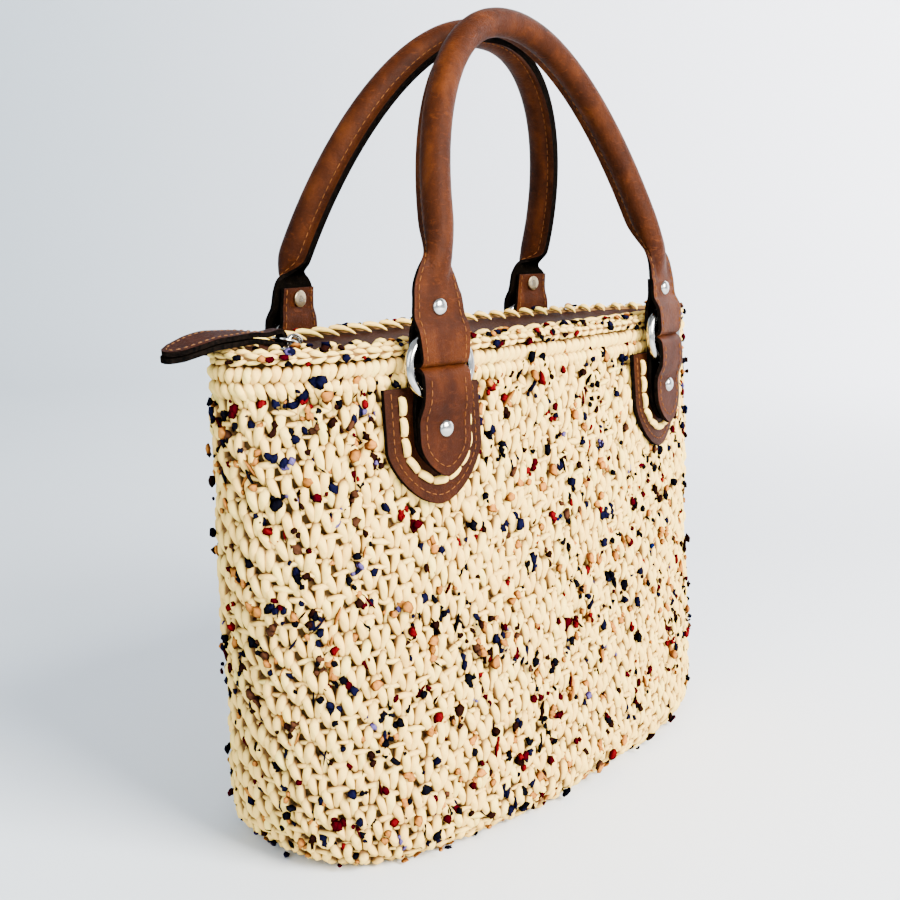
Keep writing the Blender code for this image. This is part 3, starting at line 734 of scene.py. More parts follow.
work_bars()
work_vs("crochet_back", 0.0, 0.5)
front_work = work_vs("crochet_front", 0.5, 1.0, "body_shell")
print("legs in the front half:", len(front_work.data.polygons) // len(leg_grain[1]))

# %% [markdown]
# ## Coloured flecks
#
# The yarn is spun with small knots of dyed fibre: black, navy, burgundy, red
# and a soft tan. They sit in the hollows where two stitches meet, some stand
# up as tufts, and a few are drawn out to a thread between two legs. Each is a
# grain with its points pushed about, so that none is a clean ball, and many
# come in clusters of one colour. They crowd a little at the near end's top.

# %% Scatter the flecks
FLECKS = (
    {"name": "black", "part": 0.21, "tint": (0.002, 0.002, 0.004), "size": 1.00},
    {"name": "navy", "part": 0.19, "tint": (0.003, 0.003, 0.015), "size": 1.00},
    {"name": "blue", "part": 0.02, "tint": (0.002, 0.005, 0.045), "size": 0.90},
    {"name": "brown_black", "part": 0.13, "tint": (0.011, 0.003, 0.002), "size": 1.00},
    {"name": "burgundy", "part": 0.10, "tint": (0.035, 0.000, 0.002), "size": 1.00},
    {"name": "red", "part": 0.08, "tint": (0.105, 0.001, 0.003), "size": 0.95},
    {"name": "tan", "part": 0.22, "tint": (0.440, 0.160, 0.024), "size": 1.12},
    {"name": "umber", "part": 0.03, "tint": (0.060, 0.022, 0.010), "size": 1.00},
    {"name": "lavender", "part": 0.02, "tint": (0.100, 0.075, 0.220), "size": 0.80},
)
FLECK_PARTS = [kind["part"] for kind in FLECKS]
FLECK_DOWN = (0.012, WALL_REACH - 0.003)
FLECK_LEADERS = 2500
FLECK_FOLLOWERS = 1900
FLECK_HALF = 0.00165
CROWD_PART = 0.022
CROWD_COLUMNS = (46, 58)
CROWD_DOWN = (0.013, 0.055)
TUFT_PART = 0.15
THREAD_PART = 0.13
FLECK_SIZES = (0.45, 1.25)
FLECK_LUMPS = 0.36
FLECK_FLATNESS = 0.78
THREAD_WIDE = 0.28
THREAD_LONG = 2.1
OVER_FLOOR = 0.0002


def columns_of(rows, index):
    """Each key's values from a table's rows, read at many row numbers."""
    return {key: np.array([row[key] for row in rows])[index] for key in rows[0]}


def fleck_places():
    """Kind, column, distance down and aside of each fleck, clusters included."""
    kinds = chance.choice(len(FLECKS), FLECK_LEADERS, p=FLECK_PARTS)
    down = chance.uniform(*FLECK_DOWN, FLECK_LEADERS)
    column = chance.integers(0, COLUMNS, FLECK_LEADERS)
    crowd = chance.random(FLECK_LEADERS) < CROWD_PART
    column = np.where(crowd, chance.integers(*CROWD_COLUMNS, FLECK_LEADERS), column)
    down = np.where(crowd, chance.uniform(*CROWD_DOWN, FLECK_LEADERS), down)
    meeting = np.round(down / STITCH_RISE * 2) / 2 * STITCH_RISE
    held = chance.random(FLECK_LEADERS) < 0.7
    down = np.where(held, meeting + vary(FLECK_LEADERS, 0.0009), down)
    aside = np.where(held, vary(FLECK_LEADERS, 0.0014),
                     chance.uniform(-0.004, 0.004, FLECK_LEADERS))
    led = chance.integers(0, FLECK_LEADERS, FLECK_FOLLOWERS)
    down = np.concatenate([down, down[led] + chance.uniform(-0.0034, 0.0034, len(led))])
    aside = np.concatenate([aside, aside[led] + chance.uniform(-0.003, 0.003, len(led))])
    follow = lambda values: np.concatenate([values, values[led]])
    return follow(kinds), follow(column), down, aside, follow(held)


PATCH_LOW, PATCH_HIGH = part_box("patch_front_right")
UNDER_PATCH = 0.0042


def under_patches(points):
    """Where a point lies behind a leather patch."""
    beside = (np.abs(points[:, 0]) > PATCH_LOW.x) & (np.abs(points[:, 0]) < PATCH_HIGH.x)
    return beside & (points[:, 2] > PATCH_LOW.z) & (points[:, 2] < PATCH_HIGH.z)


def scatter_flecks():
    """Flecks over the wall, most of them where stitches meet."""
    kinds, column, down, aside, held = fleck_places()
    count = len(kinds)
    kind = columns_of(FLECKS, kinds)
    thread = chance.random(count) < THREAD_PART
    tuft = (chance.random(count) < TUFT_PART) & ~thread
    size = kind["size"] * chance.uniform(*FLECK_SIZES, count)
    along = aside - STITCH_DRIFT * down / STITCH_RISE
    up = WALL_REACH - down
    x, y, z = axes(small_grain)
    lumps = 1 + chance.uniform(-FLECK_LUMPS, FLECK_LUMPS, (count, x.shape[1]))
    wide = np.where(thread, THREAD_WIDE, chance.uniform(0.70, 1.30, count))[:, None]
    long = np.where(thread, THREAD_LONG, chance.uniform(0.8, 1.4, count))[:, None]
    half = (FLECK_HALF * size)[:, None]
    across, strand = turned(x * lumps * wide * half, y * lumps * long * half,
                            chance.uniform(-0.9, 0.9, count)[:, None])
    stand = np.where(tuft, chance.uniform(0.0006, 0.0018, count),
                     np.where(held, chance.uniform(-0.0022, -0.0008, count),
                              chance.uniform(-0.0014, 0.0000, count)))
    centres = on_wall(column / COLUMNS, along, up, 0 * down)
    stand = np.where(under_patches(centres), -UNDER_PATCH, stand)
    out = z * lumps * half * FLECK_FLATNESS + stand[:, None]
    laid = (across + along[:, None], strand + up[:, None], out)
    tint = np.clip(kind["tint"] * (1 + vary(count, 0.15)[:, None]), 0, 1)
    return lay_on(on_wall, "yarn_flecks", small_grain, column / COLUMNS, laid, tint)


flecks = scatter_flecks()
raise_from_floor(flecks, OVER_FLOOR)
print("flecks:", FLECK_LEADERS + FLECK_FOLLOWERS)

# %% [markdown]
# ## Rows under the edge
#
# Below the worked edge run two rows of tight single stitches, which look like
# rows of beads. They hold the mouth to its length.

# %% Work the bead rows
BEAD_COLUMNS = 184
BEAD_SHIFT = 0.0019
BEAD_SPREADS = {"up": 0.0002, "along": 0.0003, "out": 0.0003, "turn": 0.12,
                "wide": 0.07, "long": 0.03}
BEAD_ROWS = (
    {"up": WALL_REACH - 0.0100, "slant": -0.50, "long": 0.70},
    {"up": WALL_REACH - 0.0158, "slant": 0.42, "long": 0.74},
)


def work_beads():
    share = np.tile(np.arange(BEAD_COLUMNS) / BEAD_COLUMNS, len(BEAD_ROWS))
    rows = np.repeat(np.arange(len(BEAD_ROWS)), BEAD_COLUMNS)
    row = columns_of(BEAD_ROWS, rows)
    places = varied(share, BEAD_SPREADS, side=0.0, up=row["up"], along=rows * BEAD_SHIFT,
                    out=0.0002, turn=row["slant"], wide=1.02, long=row["long"])
    return lay_legs("bead_rows", leg_grain, places)


beads = work_beads()
print("beads:", len(beads.data.polygons) // len(leg_grain[1]))

# %% [markdown]
# ## Under the base
#
# The base is worked in ovals from its middle outwards. They lie on the floor,
# so their grains are pressed flat there.

# %% Work the base
BASE_ROW_STEP = 0.0058
BASE_FIRST = -0.0030
BASE_SLANT = 0.30
BASE_SPREADS = {"along": 0.0002, "out": 0.0002, "turn": 0.1, "wide": 0.06, "long": 0.04}


def work_base():
    share, up = [], []
    row_up = BASE_FIRST
    while row_up > -BASE_REACH + 0.002:
        around = np.interp(row_up, ups, wall_rounds)
        number = int(around / (2 * LEG_HALF_WIDTH * 0.93))
        share.append((np.arange(number) + 0.5) / number)
        up.append(np.full(number, row_up))
        row_up -= BASE_ROW_STEP
    share, up = np.concatenate(share), np.concatenate(up)
    slant = BASE_SLANT * np.sign(np.sin(up * pi / BASE_ROW_STEP))
    places = varied(share, BASE_SPREADS, side=0.0, up=up, along=0.0, out=-0.0007,
                    turn=slant, wide=1.0, long=0.72)
    return lay_legs("base_rows", small_grain, places)


base_rows = work_base()
print("base grains:", len(base_rows.data.polygons) // len(small_grain[1]))

# %% [markdown]
# ## The worked edge
#
# The mouth ends in a chain: pairs of long legs that point the same way round,
# one pair behind the other. A third line of legs covers the top. All are laid
# on a round core that stands in for the turned-over fabric.

# %% Describe the edge's surface
RIM_WIDTH = 0.0072
RIM_HEIGHT = BODY_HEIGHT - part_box("rim_braid")[0].z
RIM_MIDDLE_Z = BODY_HEIGHT - RIM_HEIGHT / 2
rim_ring, rim_round = even_ring(BODY_HEIGHT, RIM_WIDTH / 2)
rim_along = np.roll(rim_ring, -1, 0) - np.roll(rim_ring, 1, 0)
rim_out = np.stack([rim_along[:, 1], -rim_along[:, 0]], 1)
rim_out /= np.linalg.norm(rim_out, axis=1, keepdims=True)
rim_table = np.concatenate([rim_ring, rim_out], 1)[None].repeat(2, 0)


def on_rim(share, along, turn, out):
    """Points round the edge; turn 0 faces outwards and a quarter turn up."""
    column = (share + along / rim_round) * ROUND_STEPS
    found = sample(rim_table, 0 * column, column)
    reach = np.cos(turn) * (RIM_WIDTH / 2 + out)
    points = np.zeros((len(share), 3))
    points[:, :2] = found[:, :2] + found[:, 2:] * reach[:, None]
    points[:, 2] = RIM_MIDDLE_Z + np.sin(turn) * (RIM_HEIGHT / 2 + out)
    return points


def carry_core(u, v):
    return on_rim(u, 0 * u, v * 2 * pi, 0 * u - 0.0015)


core = carried_sheet("edge_core", 184, 10, carry_core)
in_edit_mode(core, merge(), face_outwards)
# A stand of 0.1 gives the core the yarn finish's full painted shade.
tint_all(core, CREAM, 0.1)
dress(core, yarn_finish)
fit(core, "rim_yarn")

# %% Work the chain
CHAIN_LEGS = 112
CHAIN_SPREADS = {"along": 0.0003, "out": 0.0002, "turn": 0.08, "wide": 0.05, "long": 0.03}
CHAIN_STRANDS = (
    {"turn": -0.62, "slant": 0.34, "shift": 0.0, "long": 0.80, "wide": 0.84},
    {"turn": 0.36, "slant": -0.34, "shift": 0.0, "long": 0.80, "wide": 0.84},
    {"turn": 1.45, "slant": 0.28, "shift": 0.5, "long": 0.78, "wide": 0.86},
)


def work_chain():
    """Legs whose strand runs round the mouth, turned a little up or down."""
    strand = np.repeat(np.arange(len(CHAIN_STRANDS)), CHAIN_LEGS)
    row = columns_of(CHAIN_STRANDS, strand)
    step = np.tile(np.arange(CHAIN_LEGS), len(CHAIN_STRANDS)) + row["shift"]
    share = step / CHAIN_LEGS
    places = varied(share, CHAIN_SPREADS, side=0.0, up=0.0, along=0.0, out=0.0004,
                    turn=pi / 2 + row["slant"], wide=row["wide"], long=row["long"])
    along, around, out = leg_points(leg_grain, places)
    laid = (along, row["turn"][:, None] + around / (RIM_WIDTH / 2), out)
    lay_on(on_rim, "edge_chain", leg_grain, share, laid, cream_tints(len(share)),
           "rim_yarn", "rim_braid")


work_chain()
print("legs in the chain:", CHAIN_LEGS * len(CHAIN_STRANDS))

# %% Fleck the edge
EDGE_FLECKS = 220


def fleck_edge():
    """Flecks on the worked edge, on its outside and on top."""
    kinds = chance.choice(len(FLECKS), EDGE_FLECKS, p=FLECK_PARTS)
    tint = columns_of(FLECKS, kinds)["tint"]
    size = chance.uniform(0.5, 1.1, EDGE_FLECKS)[:, None] * FLECK_HALF
    x, y, z = axes(small_grain)
    lumps = 1 + chance.uniform(-FLECK_LUMPS, FLECK_LUMPS, (EDGE_FLECKS, x.shape[1]))
    turn = chance.uniform(-0.7, 2.0, EDGE_FLECKS)[:, None]
    laid = (y * lumps * size * 1.2, turn + x * lumps * size / (RIM_WIDTH / 2),
            z * lumps * size * 0.7 + 0.0005)
    lay_on(on_rim, "edge_flecks", small_grain, chance.random(EDGE_FLECKS), laid, tint,
           "rim_yarn")


fleck_edge()
print("flecks on the edge:", EDGE_FLECKS)

# %% [markdown]
# ## Leather
#
# Handles, tabs and patches are cut from oiled brown leather, which turns
# lighter where it is bent and darker where it is pressed. Three patterns make
# it: wide clouds of colour, fine pores, and faint creases. The cut edges are
# painted black, and the inside is dark flesh.

# %% Mix the leathers
def make_leather(name, dark, middle, light, shine, specular=0.05):
    """Oiled leather between three colours, with pores and creases."""
    leather = Finish(name, Specular_IOR_Level=specular)
    where = leather.places()
    cloud = leather.noise(where, 38.0, 5.0, 0.62, 0.4)
    streak = leather.noise(leather.stretched(where, (1.0, 1.0, 0.35)), 150.0, 4.0, 0.6)
    pores = leather.cells(where, 1500.0)
    grain_noise = leather.noise(where, 900.0, 3.0, 0.6)
    creases = leather.noise(leather.stretched(where, (0.6, 0.6, 1.6)), 330.0, 4.0, 0.7, 1.2)
    tone = cloud * 0.52 + streak * 0.48
    colour = leather.ramp(tone, (0.30, dark), (0.50, middle), (0.72, light))
    pored = leather.mix((0.35 - pores).between(0.0, 0.3) * 0.35, colour,
                        (*(channel * 0.5 for channel in dark), 1.0))
    scuffed = leather.mix(creases.between(0.54, 0.70) * 0.55, pored, (*light, 1.0))
    leather.paint("Base Color", scuffed)
    leather.paint("Roughness", shine + grain_noise * 0.22 - cloud * 0.08)
    leather.bump(pores * 0.3 + grain_noise * 0.4 + creases * 0.7, 0.00040, 0.9)
    return leather.material


def make_edge_paint():
    paint = Finish("edge_paint", Specular_IOR_Level=0.0)
    dust = paint.noise(paint.places(), 700.0, 3.0)
    paint.paint("Base Color", paint.ramp(dust, (0.35, (0.001, 0.001, 0.001)),
                                         (0.75, (0.006, 0.004, 0.003))))
    paint.paint("Roughness", 0.34 + dust * 0.25)
    paint.bump(dust, 0.0002, 0.6)
    return paint.material


handle_leather = make_leather("oiled_handle_leather", (0.011, 0.0021, 0.0004),
                              (0.031, 0.0066, 0.0008), (0.080, 0.0190, 0.0028), 0.46)
tab_leather = make_leather("oiled_tab_leather", (0.009, 0.0016, 0.0003),
                           (0.025, 0.0050, 0.0006), (0.061, 0.0140, 0.0020), 0.48)
patch_leather = make_leather("oiled_patch_leather", (0.007, 0.0013, 0.0003),
                             (0.019, 0.0040, 0.0006), (0.046, 0.0108, 0.0017), 0.52)
panel_leather = make_leather("dark_panel_leather", (0.008, 0.0016, 0.0006),
                             (0.017, 0.0040, 0.0017), (0.032, 0.0085, 0.0040), 0.60, 0.06)
flesh_side = make_leather("flesh_side", (0.001, 0.001, 0.001),
                          (0.002, 0.0015, 0.001), (0.005, 0.003, 0.002), 0.75, 0.0)
edge_paint = make_edge_paint()
print("leathers:", handle_leather.name, tab_leather.name, patch_leather.name)

# %% [markdown]
# ## Thread
#
# A row of sewing is a row of short grains, one for each stitch, that dip into
# the leather at both ends. The path of the row only has to be near the
# leather: each end is then settled on the nearest point of the finished
# piece, so that no stitch hangs in the air.

# %% Sew along a path
MACHINE_PITCH = 0.0035
MACHINE_THREAD = {"half_width": 0.00021, "half_thick": 0.0003, "lift": 0.0001,
                  "tint": (0.17, 0.062, 0.018)}


def settled(piece, points):
    """The nearest points of a piece's surface, and its normals there."""
    found = [piece.closest_point_on_mesh(Vector(point)) for point in points]
    return (np.array([tuple(hit[1]) for hit in found]),
            np.array([tuple(hit[2]) for hit in found]))


def unit(vectors):
    return vectors / np.maximum(np.linalg.norm(vectors, axis=1, keepdims=True), 1e-12)


def lay_threads(name, slot, starts, ends, normals, half_width, half_thick, lift, tint,
                taper=0.0, template=small_grain, blunt=0.15, node=None):
    """Grains stretched from start to end, bowed out along their normals."""
    x, y, z = axes(template)[..., None]
    along = (ends - starts)[:, None, :] / 2
    middle = (ends + starts)[:, None, :] / 2
    strand = unit(along[:, 0])
    out = unit(normals - strand * (normals * strand).sum(1)[:, None])
    across = np.cross(strand, out)
    plump = np.maximum(1 - y * y, 1e-6) ** -blunt * (1 - taper * (y + 1) / 2)
    points = (middle + along * y + across[:, None] * x * half_width * plump
              + out[:, None] * (z * half_thick * plump + lift * (1 - y * y)))
    tints = np.clip(np.array([tint]) * (1 + vary(len(starts), 0.06))[:, None], 0, 1)
    return join_copies(name, template, points, coloured(tints, template, 0.5, 0.75),
                       slot, node)


def sew(name, slot, piece, paths, pitch=MACHINE_PITCH, gap=0.0004, **thread):
    """Rows of stitches along paths, settled on a piece."""
    starts, ends = [], []
    for path in paths:
        walked = walked_along(path)
        number = max(int(round(walked[-1] / pitch)), 1)
        marks = np.linspace(0, walked[-1], number + 1)
        starts.append(read_table(marks[:-1] + gap, walked, path))
        ends.append(read_table(marks[1:] - gap, walked, path))
    starts, first_normals = settled(piece, np.concatenate(starts))
    ends, last_normals = settled(piece, np.concatenate(ends))
    normals = unit(first_normals + last_normals)
    lay_threads(name, slot, starts, ends, normals, **{**MACHINE_THREAD, **thread})


print("sewing pitch in mm:", MACHINE_PITCH * 1000)

# %% [markdown]
# ## Mounts
#
# Each handle end hangs on a ring. The four mounts are alike, so their pieces
# are described once, in a frame that has X along the wall, Y out of it and Z
# up, and then placed by end and face.

# %% Place the mounts
MOUNT_X = 0.0835
RING_Z = 0.1993
RING_RADIUS = 0.0158
RING_WIRE = 0.0020
LEATHER = 0.0020
SLIT = 0.0004
CLEARANCE = 0.0003
LOOP_RADIUS = 0.0026
FOLD_GAP = -0.0006
RING_FLATNESS = 0.84
PATCH_THICKNESS = 0.0022
PATCH_HALF_WIDTH = 0.0245
PATCH_TOP_DROP = 0.0080
PATCH_LENGTH = 0.0470
TAB_WIDTH = 0.0260
TAB_LENGTH = 0.0435
TAB_RIVET_DROP = 0.0243
STRAP_RIVET_RISE = 0.0227
RIVET_RADIUS = 0.0036
MOUNTS = tuple((end, face) for face in (-1, 1) for end in (-1, 1))


def mount_name(end, face):
    return ("front" if face < 0 else "back") + ("_left" if end < 0 else "_right")


def mount_turn():
    step = 0.0006
    slope = depth_at(MOUNT_X + step, RING_Z) - depth_at(MOUNT_X - step, RING_Z)
    return atan2(-slope, 2 * step)


def mount_frame(end, face):
    turn = mount_turn() * -end * face + (pi if face < 0 else 0)
    place = Vector((end * MOUNT_X, face * depth_at(MOUNT_X, RING_Z), RING_Z))
    return Matrix.Translation(place) @ Matrix.Rotation(turn, 4, "Z")


def placed(points, end, face):
    """Points of a mount's own frame, in the bag's frame."""
    frame_matrix = np.array(mount_frame(end, face))
    return points @ frame_matrix[:3, :3].T + frame_matrix[:3, 3]


def wall_lean(rise):
    """How far the wall stands out at a height over the mount's."""
    return depth_at(MOUNT_X, RING_Z + rise) - depth_at(MOUNT_X, RING_Z)


def smooth_step(low, high, value):
    share = np.clip((value - low) / (high - low), 0, 1)
    return share * share * (3 - 2 * share)


PATCH_FACE = CLEARANCE + PATCH_THICKNESS
RING_STANDOFF = PATCH_FACE + CLEARANCE + LEATHER + CLEARANCE + RING_WIRE
LOOP_FRONT = RING_STANDOFF + LOOP_RADIUS + LEATHER / 2
print("a ring stands", round(RING_STANDOFF * 1000, 1), "mm off the wall")

# %% [markdown]
# ## Folded straps
#
# A tab and a handle's end are folded in the same way: up behind the ring,
# round it, and down in front. The fold's path is a short list of places, with
# a half circle round the ring's wire. Cutting its corners twice turns the
# list into a smooth path, as a stiff strap would lie.

# %% Describe the fold
SETTLE_SHARE = 1.3
FOLD_STEPS = 8


def fold_path(rivet, tail, length, back_flat, front_flat, back_bulge):
    """Rows of (distance from the fold, standoff from the wall, turn)."""
    middle = LOOP_RADIUS + LEATHER
    start = RING_RADIUS * RING_FLATNESS - FOLD_GAP / 2 + RING_WIRE / 10
    end = rivet - RIVET_RADIUS
    radius = LOOP_RADIUS + LEATHER / 2
    near = LOOP_FRONT - 2 * radius
    path = []
    for distance in (tail, end, (start + end) / 2, start, middle * SETTLE_SHARE):
        share = smooth_step(start, end, distance)
        path.append((distance, back_bulge + (back_flat - back_bulge) * share, pi))
    for step in range(FOLD_STEPS + 1):
        turn = pi - pi * step / FOLD_STEPS
        path.append((middle - radius * sin(turn), near + radius * (1 + cos(turn)), turn))
    for distance in (start, (start + end) / 2, end, length):
        share = smooth_step(start, end, distance)
        path.append((distance, LOOP_FRONT + (front_flat - LOOP_FRONT) * share, 0.0))
    return np.array(path)


def cut_corners(path, passes=2):
    """Each pass replaces a corner by two points on its sides."""
    for _ in range(passes):
        first = path[:-1] * 0.75 + path[1:] * 0.25
        second = path[:-1] * 0.25 + path[1:] * 0.75
        middle = np.stack([first, second], 1).reshape(-1, path.shape[1])
        path = np.concatenate([path[:1], middle, path[-1:]])
    return path


def read_rows(table, share):
    """Rows of a table read at shares from 0 to 1."""
    return read_table(share * (len(table) - 1), np.arange(len(table)), table)


def leather_piece(name, slot, node, columns, rows, carry, out_at, leather, thickness):
    """A sheet given a leather's thickness, black edges and a dark inside.

    out_at is a direction that the sheet's middle must face.
    """
    piece = carried_sheet(name, columns, rows, carry)
    corner, over, up = carry(np.array([0.5, 0.51, 0.5]), np.array([0.5, 0.5, 0.51]))
    if np.dot(np.cross(over - corner, up - corner), out_at) < 0:
        in_edit_mode(piece, bpy.ops.mesh.flip_normals)
    dress(piece, leather, edge_paint, flesh_side)
    finish_with(piece, "SOLIDIFY", thickness=thickness, offset=-1.0,
                use_even_offset=False, material_offset=2, material_offset_rim=1)
    finish_with(piece, "BEVEL", width=thickness * 0.16, segments=2,
                limit_method="ANGLE", angle_limit=radians(55))
    piece.data.shade_smooth()
    piece.data.set_sharp_from_angle(angle=radians(60))
    return fit(piece, slot, node)


# %% [markdown]
# ## Handles
#
# A handle is one strap. In the middle it is rolled round a cord and its two
# edges are sewn together to a flange, which faces the other handle. Towards
# each end the roll opens to a flat strap, which is folded round the ring and
# riveted to itself. So one grid will do: a function gives its section at each
# place, and how far it is rolled up there.

# %% Describe a handle
STRAP_WIDTH = 0.0265
STRAP_FOLD_WIDTH = 0.0238
STRAP_STANDOFF = 0.0052
STRAP_TAIL = 0.0048
TAIL_NARROWING = 0.0070
HANDLES = (
    {"name": "handle_front", "face": -1, "top": 0.3390, "spread": 0.0797, "sway": -0.0020,
     "open": 0.0320},
    {"name": "handle_back", "face": 1, "top": 0.3368, "spread": 0.0868, "sway": 0.0045,
     "open": 0.0165},
)
APEX_Y = 0.0098
ARCH_SIDE = 2.09
ARCH_TOP = 1.77
ARCH_LEAN = 0.90
ROLL_FORWARD = 0.0047
ROLL_RADIUS = 0.0062
FLANGE_REACH = 0.0030
FLANGE_HALF = 0.0018
BACK_POWER = 1.9
FRONT_POWER = 0.8
FORWARD_SHARE = 0.55
STRAP_FLAT = 0.0030
ARCH_STEPS = 40
OPEN_STEPS = 8


def roll_outline():
    """The closed section as (across, outwards), from one edge to the other."""
    tip = -(ROLL_RADIUS + FLANGE_REACH)
    points = [(FLANGE_HALF, tip), (FLANGE_HALF, -ROLL_RADIUS * 0.97)]
    for angle in np.linspace(radians(-58), radians(238), 24):
        points.append((ROLL_RADIUS * cos(angle), ROLL_RADIUS * sin(angle)))
    points += [(-FLANGE_HALF, -ROLL_RADIUS * 0.97), (-FLANGE_HALF, tip)]
    return np.array(points)


ROLL = roll_outline()
ROLL_WALKED = walked_along(ROLL) / walked_along(ROLL)[-1]


def bent_strap(share, rolled, half):
    """Across and outwards at a share of the strap's width and of its roll.

    The strap draws in first. Its edges go back, and its front comes forward,
    only as it closes.
    """
    flat_x = half * (1 - 2 * share)
    roll_x = np.interp(share, ROLL_WALKED, ROLL[:, 0])
    roll_y = np.interp(share, ROLL_WALKED, ROLL[:, 1])
    x = flat_x * (1 - rolled) + roll_x * rolled
    back = np.minimum(roll_y, 0) * rolled ** BACK_POWER
    front = np.maximum(roll_y, 0) * rolled ** FRONT_POWER
    return x, LEATHER / 2 * (1 - rolled) + back + front


def strap_front():
    return STRAP_STANDOFF + LEATHER + SLIT


def end_stations(end, face):
    """Stations of a folded end: centre, outward direction, roll, half width."""
    rivet = STRAP_RIVET_RISE - FOLD_GAP / 2
    bulge = RING_STANDOFF - RING_WIRE - CLEARANCE - LEATHER / 2
    top = rivet + STRAP_TAIL
    path = fold_path(rivet, top, rivet + STRAP_FLAT, STRAP_STANDOFF, strap_front(), bulge)
    turn_matrix = np.array(mount_frame(end, face))[:3, :3]
    stations = []
    for along, standoff, turn in path:
        rise = FOLD_GAP / 2 + along
        centre = placed(np.array([[0, standoff + wall_lean(rise), rise]]), end, face)[0]
        out = turn_matrix @ np.array([0, cos(turn), -sin(turn)])
        widen = smooth_step(0, STRAP_RIVET_RISE * 0.8, along)
        half = (STRAP_FOLD_WIDTH + (STRAP_WIDTH - STRAP_FOLD_WIDTH) * widen) / 2
        if turn > pi / 2:
            half -= TAIL_NARROWING / 2 * smooth_step(0.2 * rivet, rivet, along)
        else:
            half *= 1 - 0.07 * smooth_step(0.75 * rivet, rivet + STRAP_FLAT, along)
        stations.append((*centre, *out, 0.0, half))
    return stations


def arch_stations(handle, left, right):
    """Stations of the arch between two folded ends."""
    face, sway, opened = handle["face"], handle["sway"], handle["open"]
    end_x, end_y, end_z = abs(left[-1][0]), left[-1][1], left[-1][2]
    height = handle["top"] - end_z
    lean = atan2(abs(end_y) + ROLL_FORWARD - APEX_Y, height)
    upright = np.array([0, face * cos(lean), sin(lean)])
    rises = [opened * step / OPEN_STEPS for step in range(1, OPEN_STEPS + 1)]
    opening = [acos((rise / height) ** (ARCH_TOP / 2)) / (pi / 2) for rise in rises]
    even = opening[-1] * np.linspace(-1, 1, ARCH_STEPS + 1)
    stations = []
    for turn in [*(-place for place in opening[:-1]), *even, *opening[-2::-1]]:
        angle = turn * pi / 2
        share = max(cos(angle), 0.0) ** (2 / ARCH_TOP)
        rise = height * share
        rolled = float(smooth_step(0, opened, rise))
        half = end_x + (handle["spread"] - end_x) * rolled
        side = abs(sin(angle)) ** (2 / ARCH_SIDE) * (1 if angle >= 0 else -1)
        forward = float(smooth_step(0, opened * FORWARD_SHARE, rise))
        start = end_y + face * ROLL_FORWARD * forward
        centre = (half * side + sway * share,
                  start + (face * APEX_Y - start) * share ** ARCH_LEAN, end_z + rise)
        nearest = np.array(left[-1][3:6] if turn < 0 else right[-1][3:6])
        out = nearest * (1 - rolled) + upright * rolled
        stations.append((*centre, *out, rolled, STRAP_WIDTH / 2 * 0.93))
    return stations


def handle_stations(handle):
    left = end_stations(-1, handle["face"])
    right = end_stations(1, handle["face"])
    rows = left + arch_stations(handle, left, right) + right[::-1]
    return cut_corners(np.array(rows))


def handle_carry(stations):
    """The function that carries a flat strap onto its handle."""
    along = unit(np.gradient(stations[:, :3], axis=0))
    out = stations[:, 3:6]
    out = unit(out - along * (out * along).sum(1)[:, None])
    across = np.cross(along, out)
    table = np.concatenate([stations[:, :3], across, out, stations[:, 6:]], 1)

    def carry(u, v):
        row = read_rows(table, v)
        x, y = bent_strap(u, row[:, 9], row[:, 10])
        return row[:, :3] + unit(row[:, 3:6]) * x[:, None] + unit(row[:, 6:9]) * y[:, None]
    return carry


# %% Roll and sew the handles
HANDLE_COLUMNS = 30
HANDLE_SEAM = 0.090
HANDLE_WALL = 0.0017


def make_handle(handle):
    stations = handle_stations(handle)
    carry = handle_carry(stations)
    piece = leather_piece("leather_" + handle["name"], "handle_leather", handle["name"],
                          HANDLE_COLUMNS, len(stations) - 1, carry,
                          (0, handle["face"], 0.6), handle_leather, HANDLE_WALL)
    v = np.linspace(0.0, 1.0, 500)
    seams = [carry(0 * v + u, v) for u in (HANDLE_SEAM, 1 - HANDLE_SEAM)]
    sew(handle["name"] + "_thread", "handle_leather", piece, seams)
    return piece


handles = [make_handle(handle) for handle in HANDLES]
print("faces in a handle:", len(handles[0].data.polygons))

# %% [markdown]
# ## Patches
#
# A patch is a flat piece of leather with rounded shoulders and a blunt point.
# It lies on the wall, so its grid is carried straight onto the wall's curve.
# Two rows of sewing hold it: a thin machine row near its edge, and a row of
# long cream yarn stitches worked by hand inside it.

# %% Cut and sew the patches
POINT_POWER = 1.75
POINT_ROUNDNESS = 0.72
PATCH_SIDE_SHARE = 0.52
PATCH_POINT_INSET = 1.12
TAB_POINT_INSET = 1.15
HAND_STITCH = 0.0084
HAND_INSET = 0.0079
MACHINE_INSET = 0.0032


def patch_foot(share, inset=0.0):
    """Depth of the patch's lower edge at a share of its half width."""
    drop = np.maximum(1 - np.abs(share) ** POINT_POWER, 0) ** POINT_ROUNDNESS
    side = PATCH_LENGTH * PATCH_SIDE_SHARE
    return side + (PATCH_LENGTH - inset - side) * drop


def patch_places(across, drop, end, face, out=PATCH_FACE):
    """Points of the patch's face from metres across and down it."""
    turn = mount_turn()
    x = MOUNT_X + across * cos(turn)
    z = RING_Z - PATCH_TOP_DROP - drop
    depth = depth_at(x, z)
    return np.stack([end * (x + out * sin(turn)), face * (depth + out * cos(turn)), z], 1)


def patch_carry(end, face):
    def carry(u, v):
        share = np.sin((u - 0.5) * pi)
        return patch_places(share * PATCH_HALF_WIDTH, patch_foot(share) * v, end, face)
    return carry


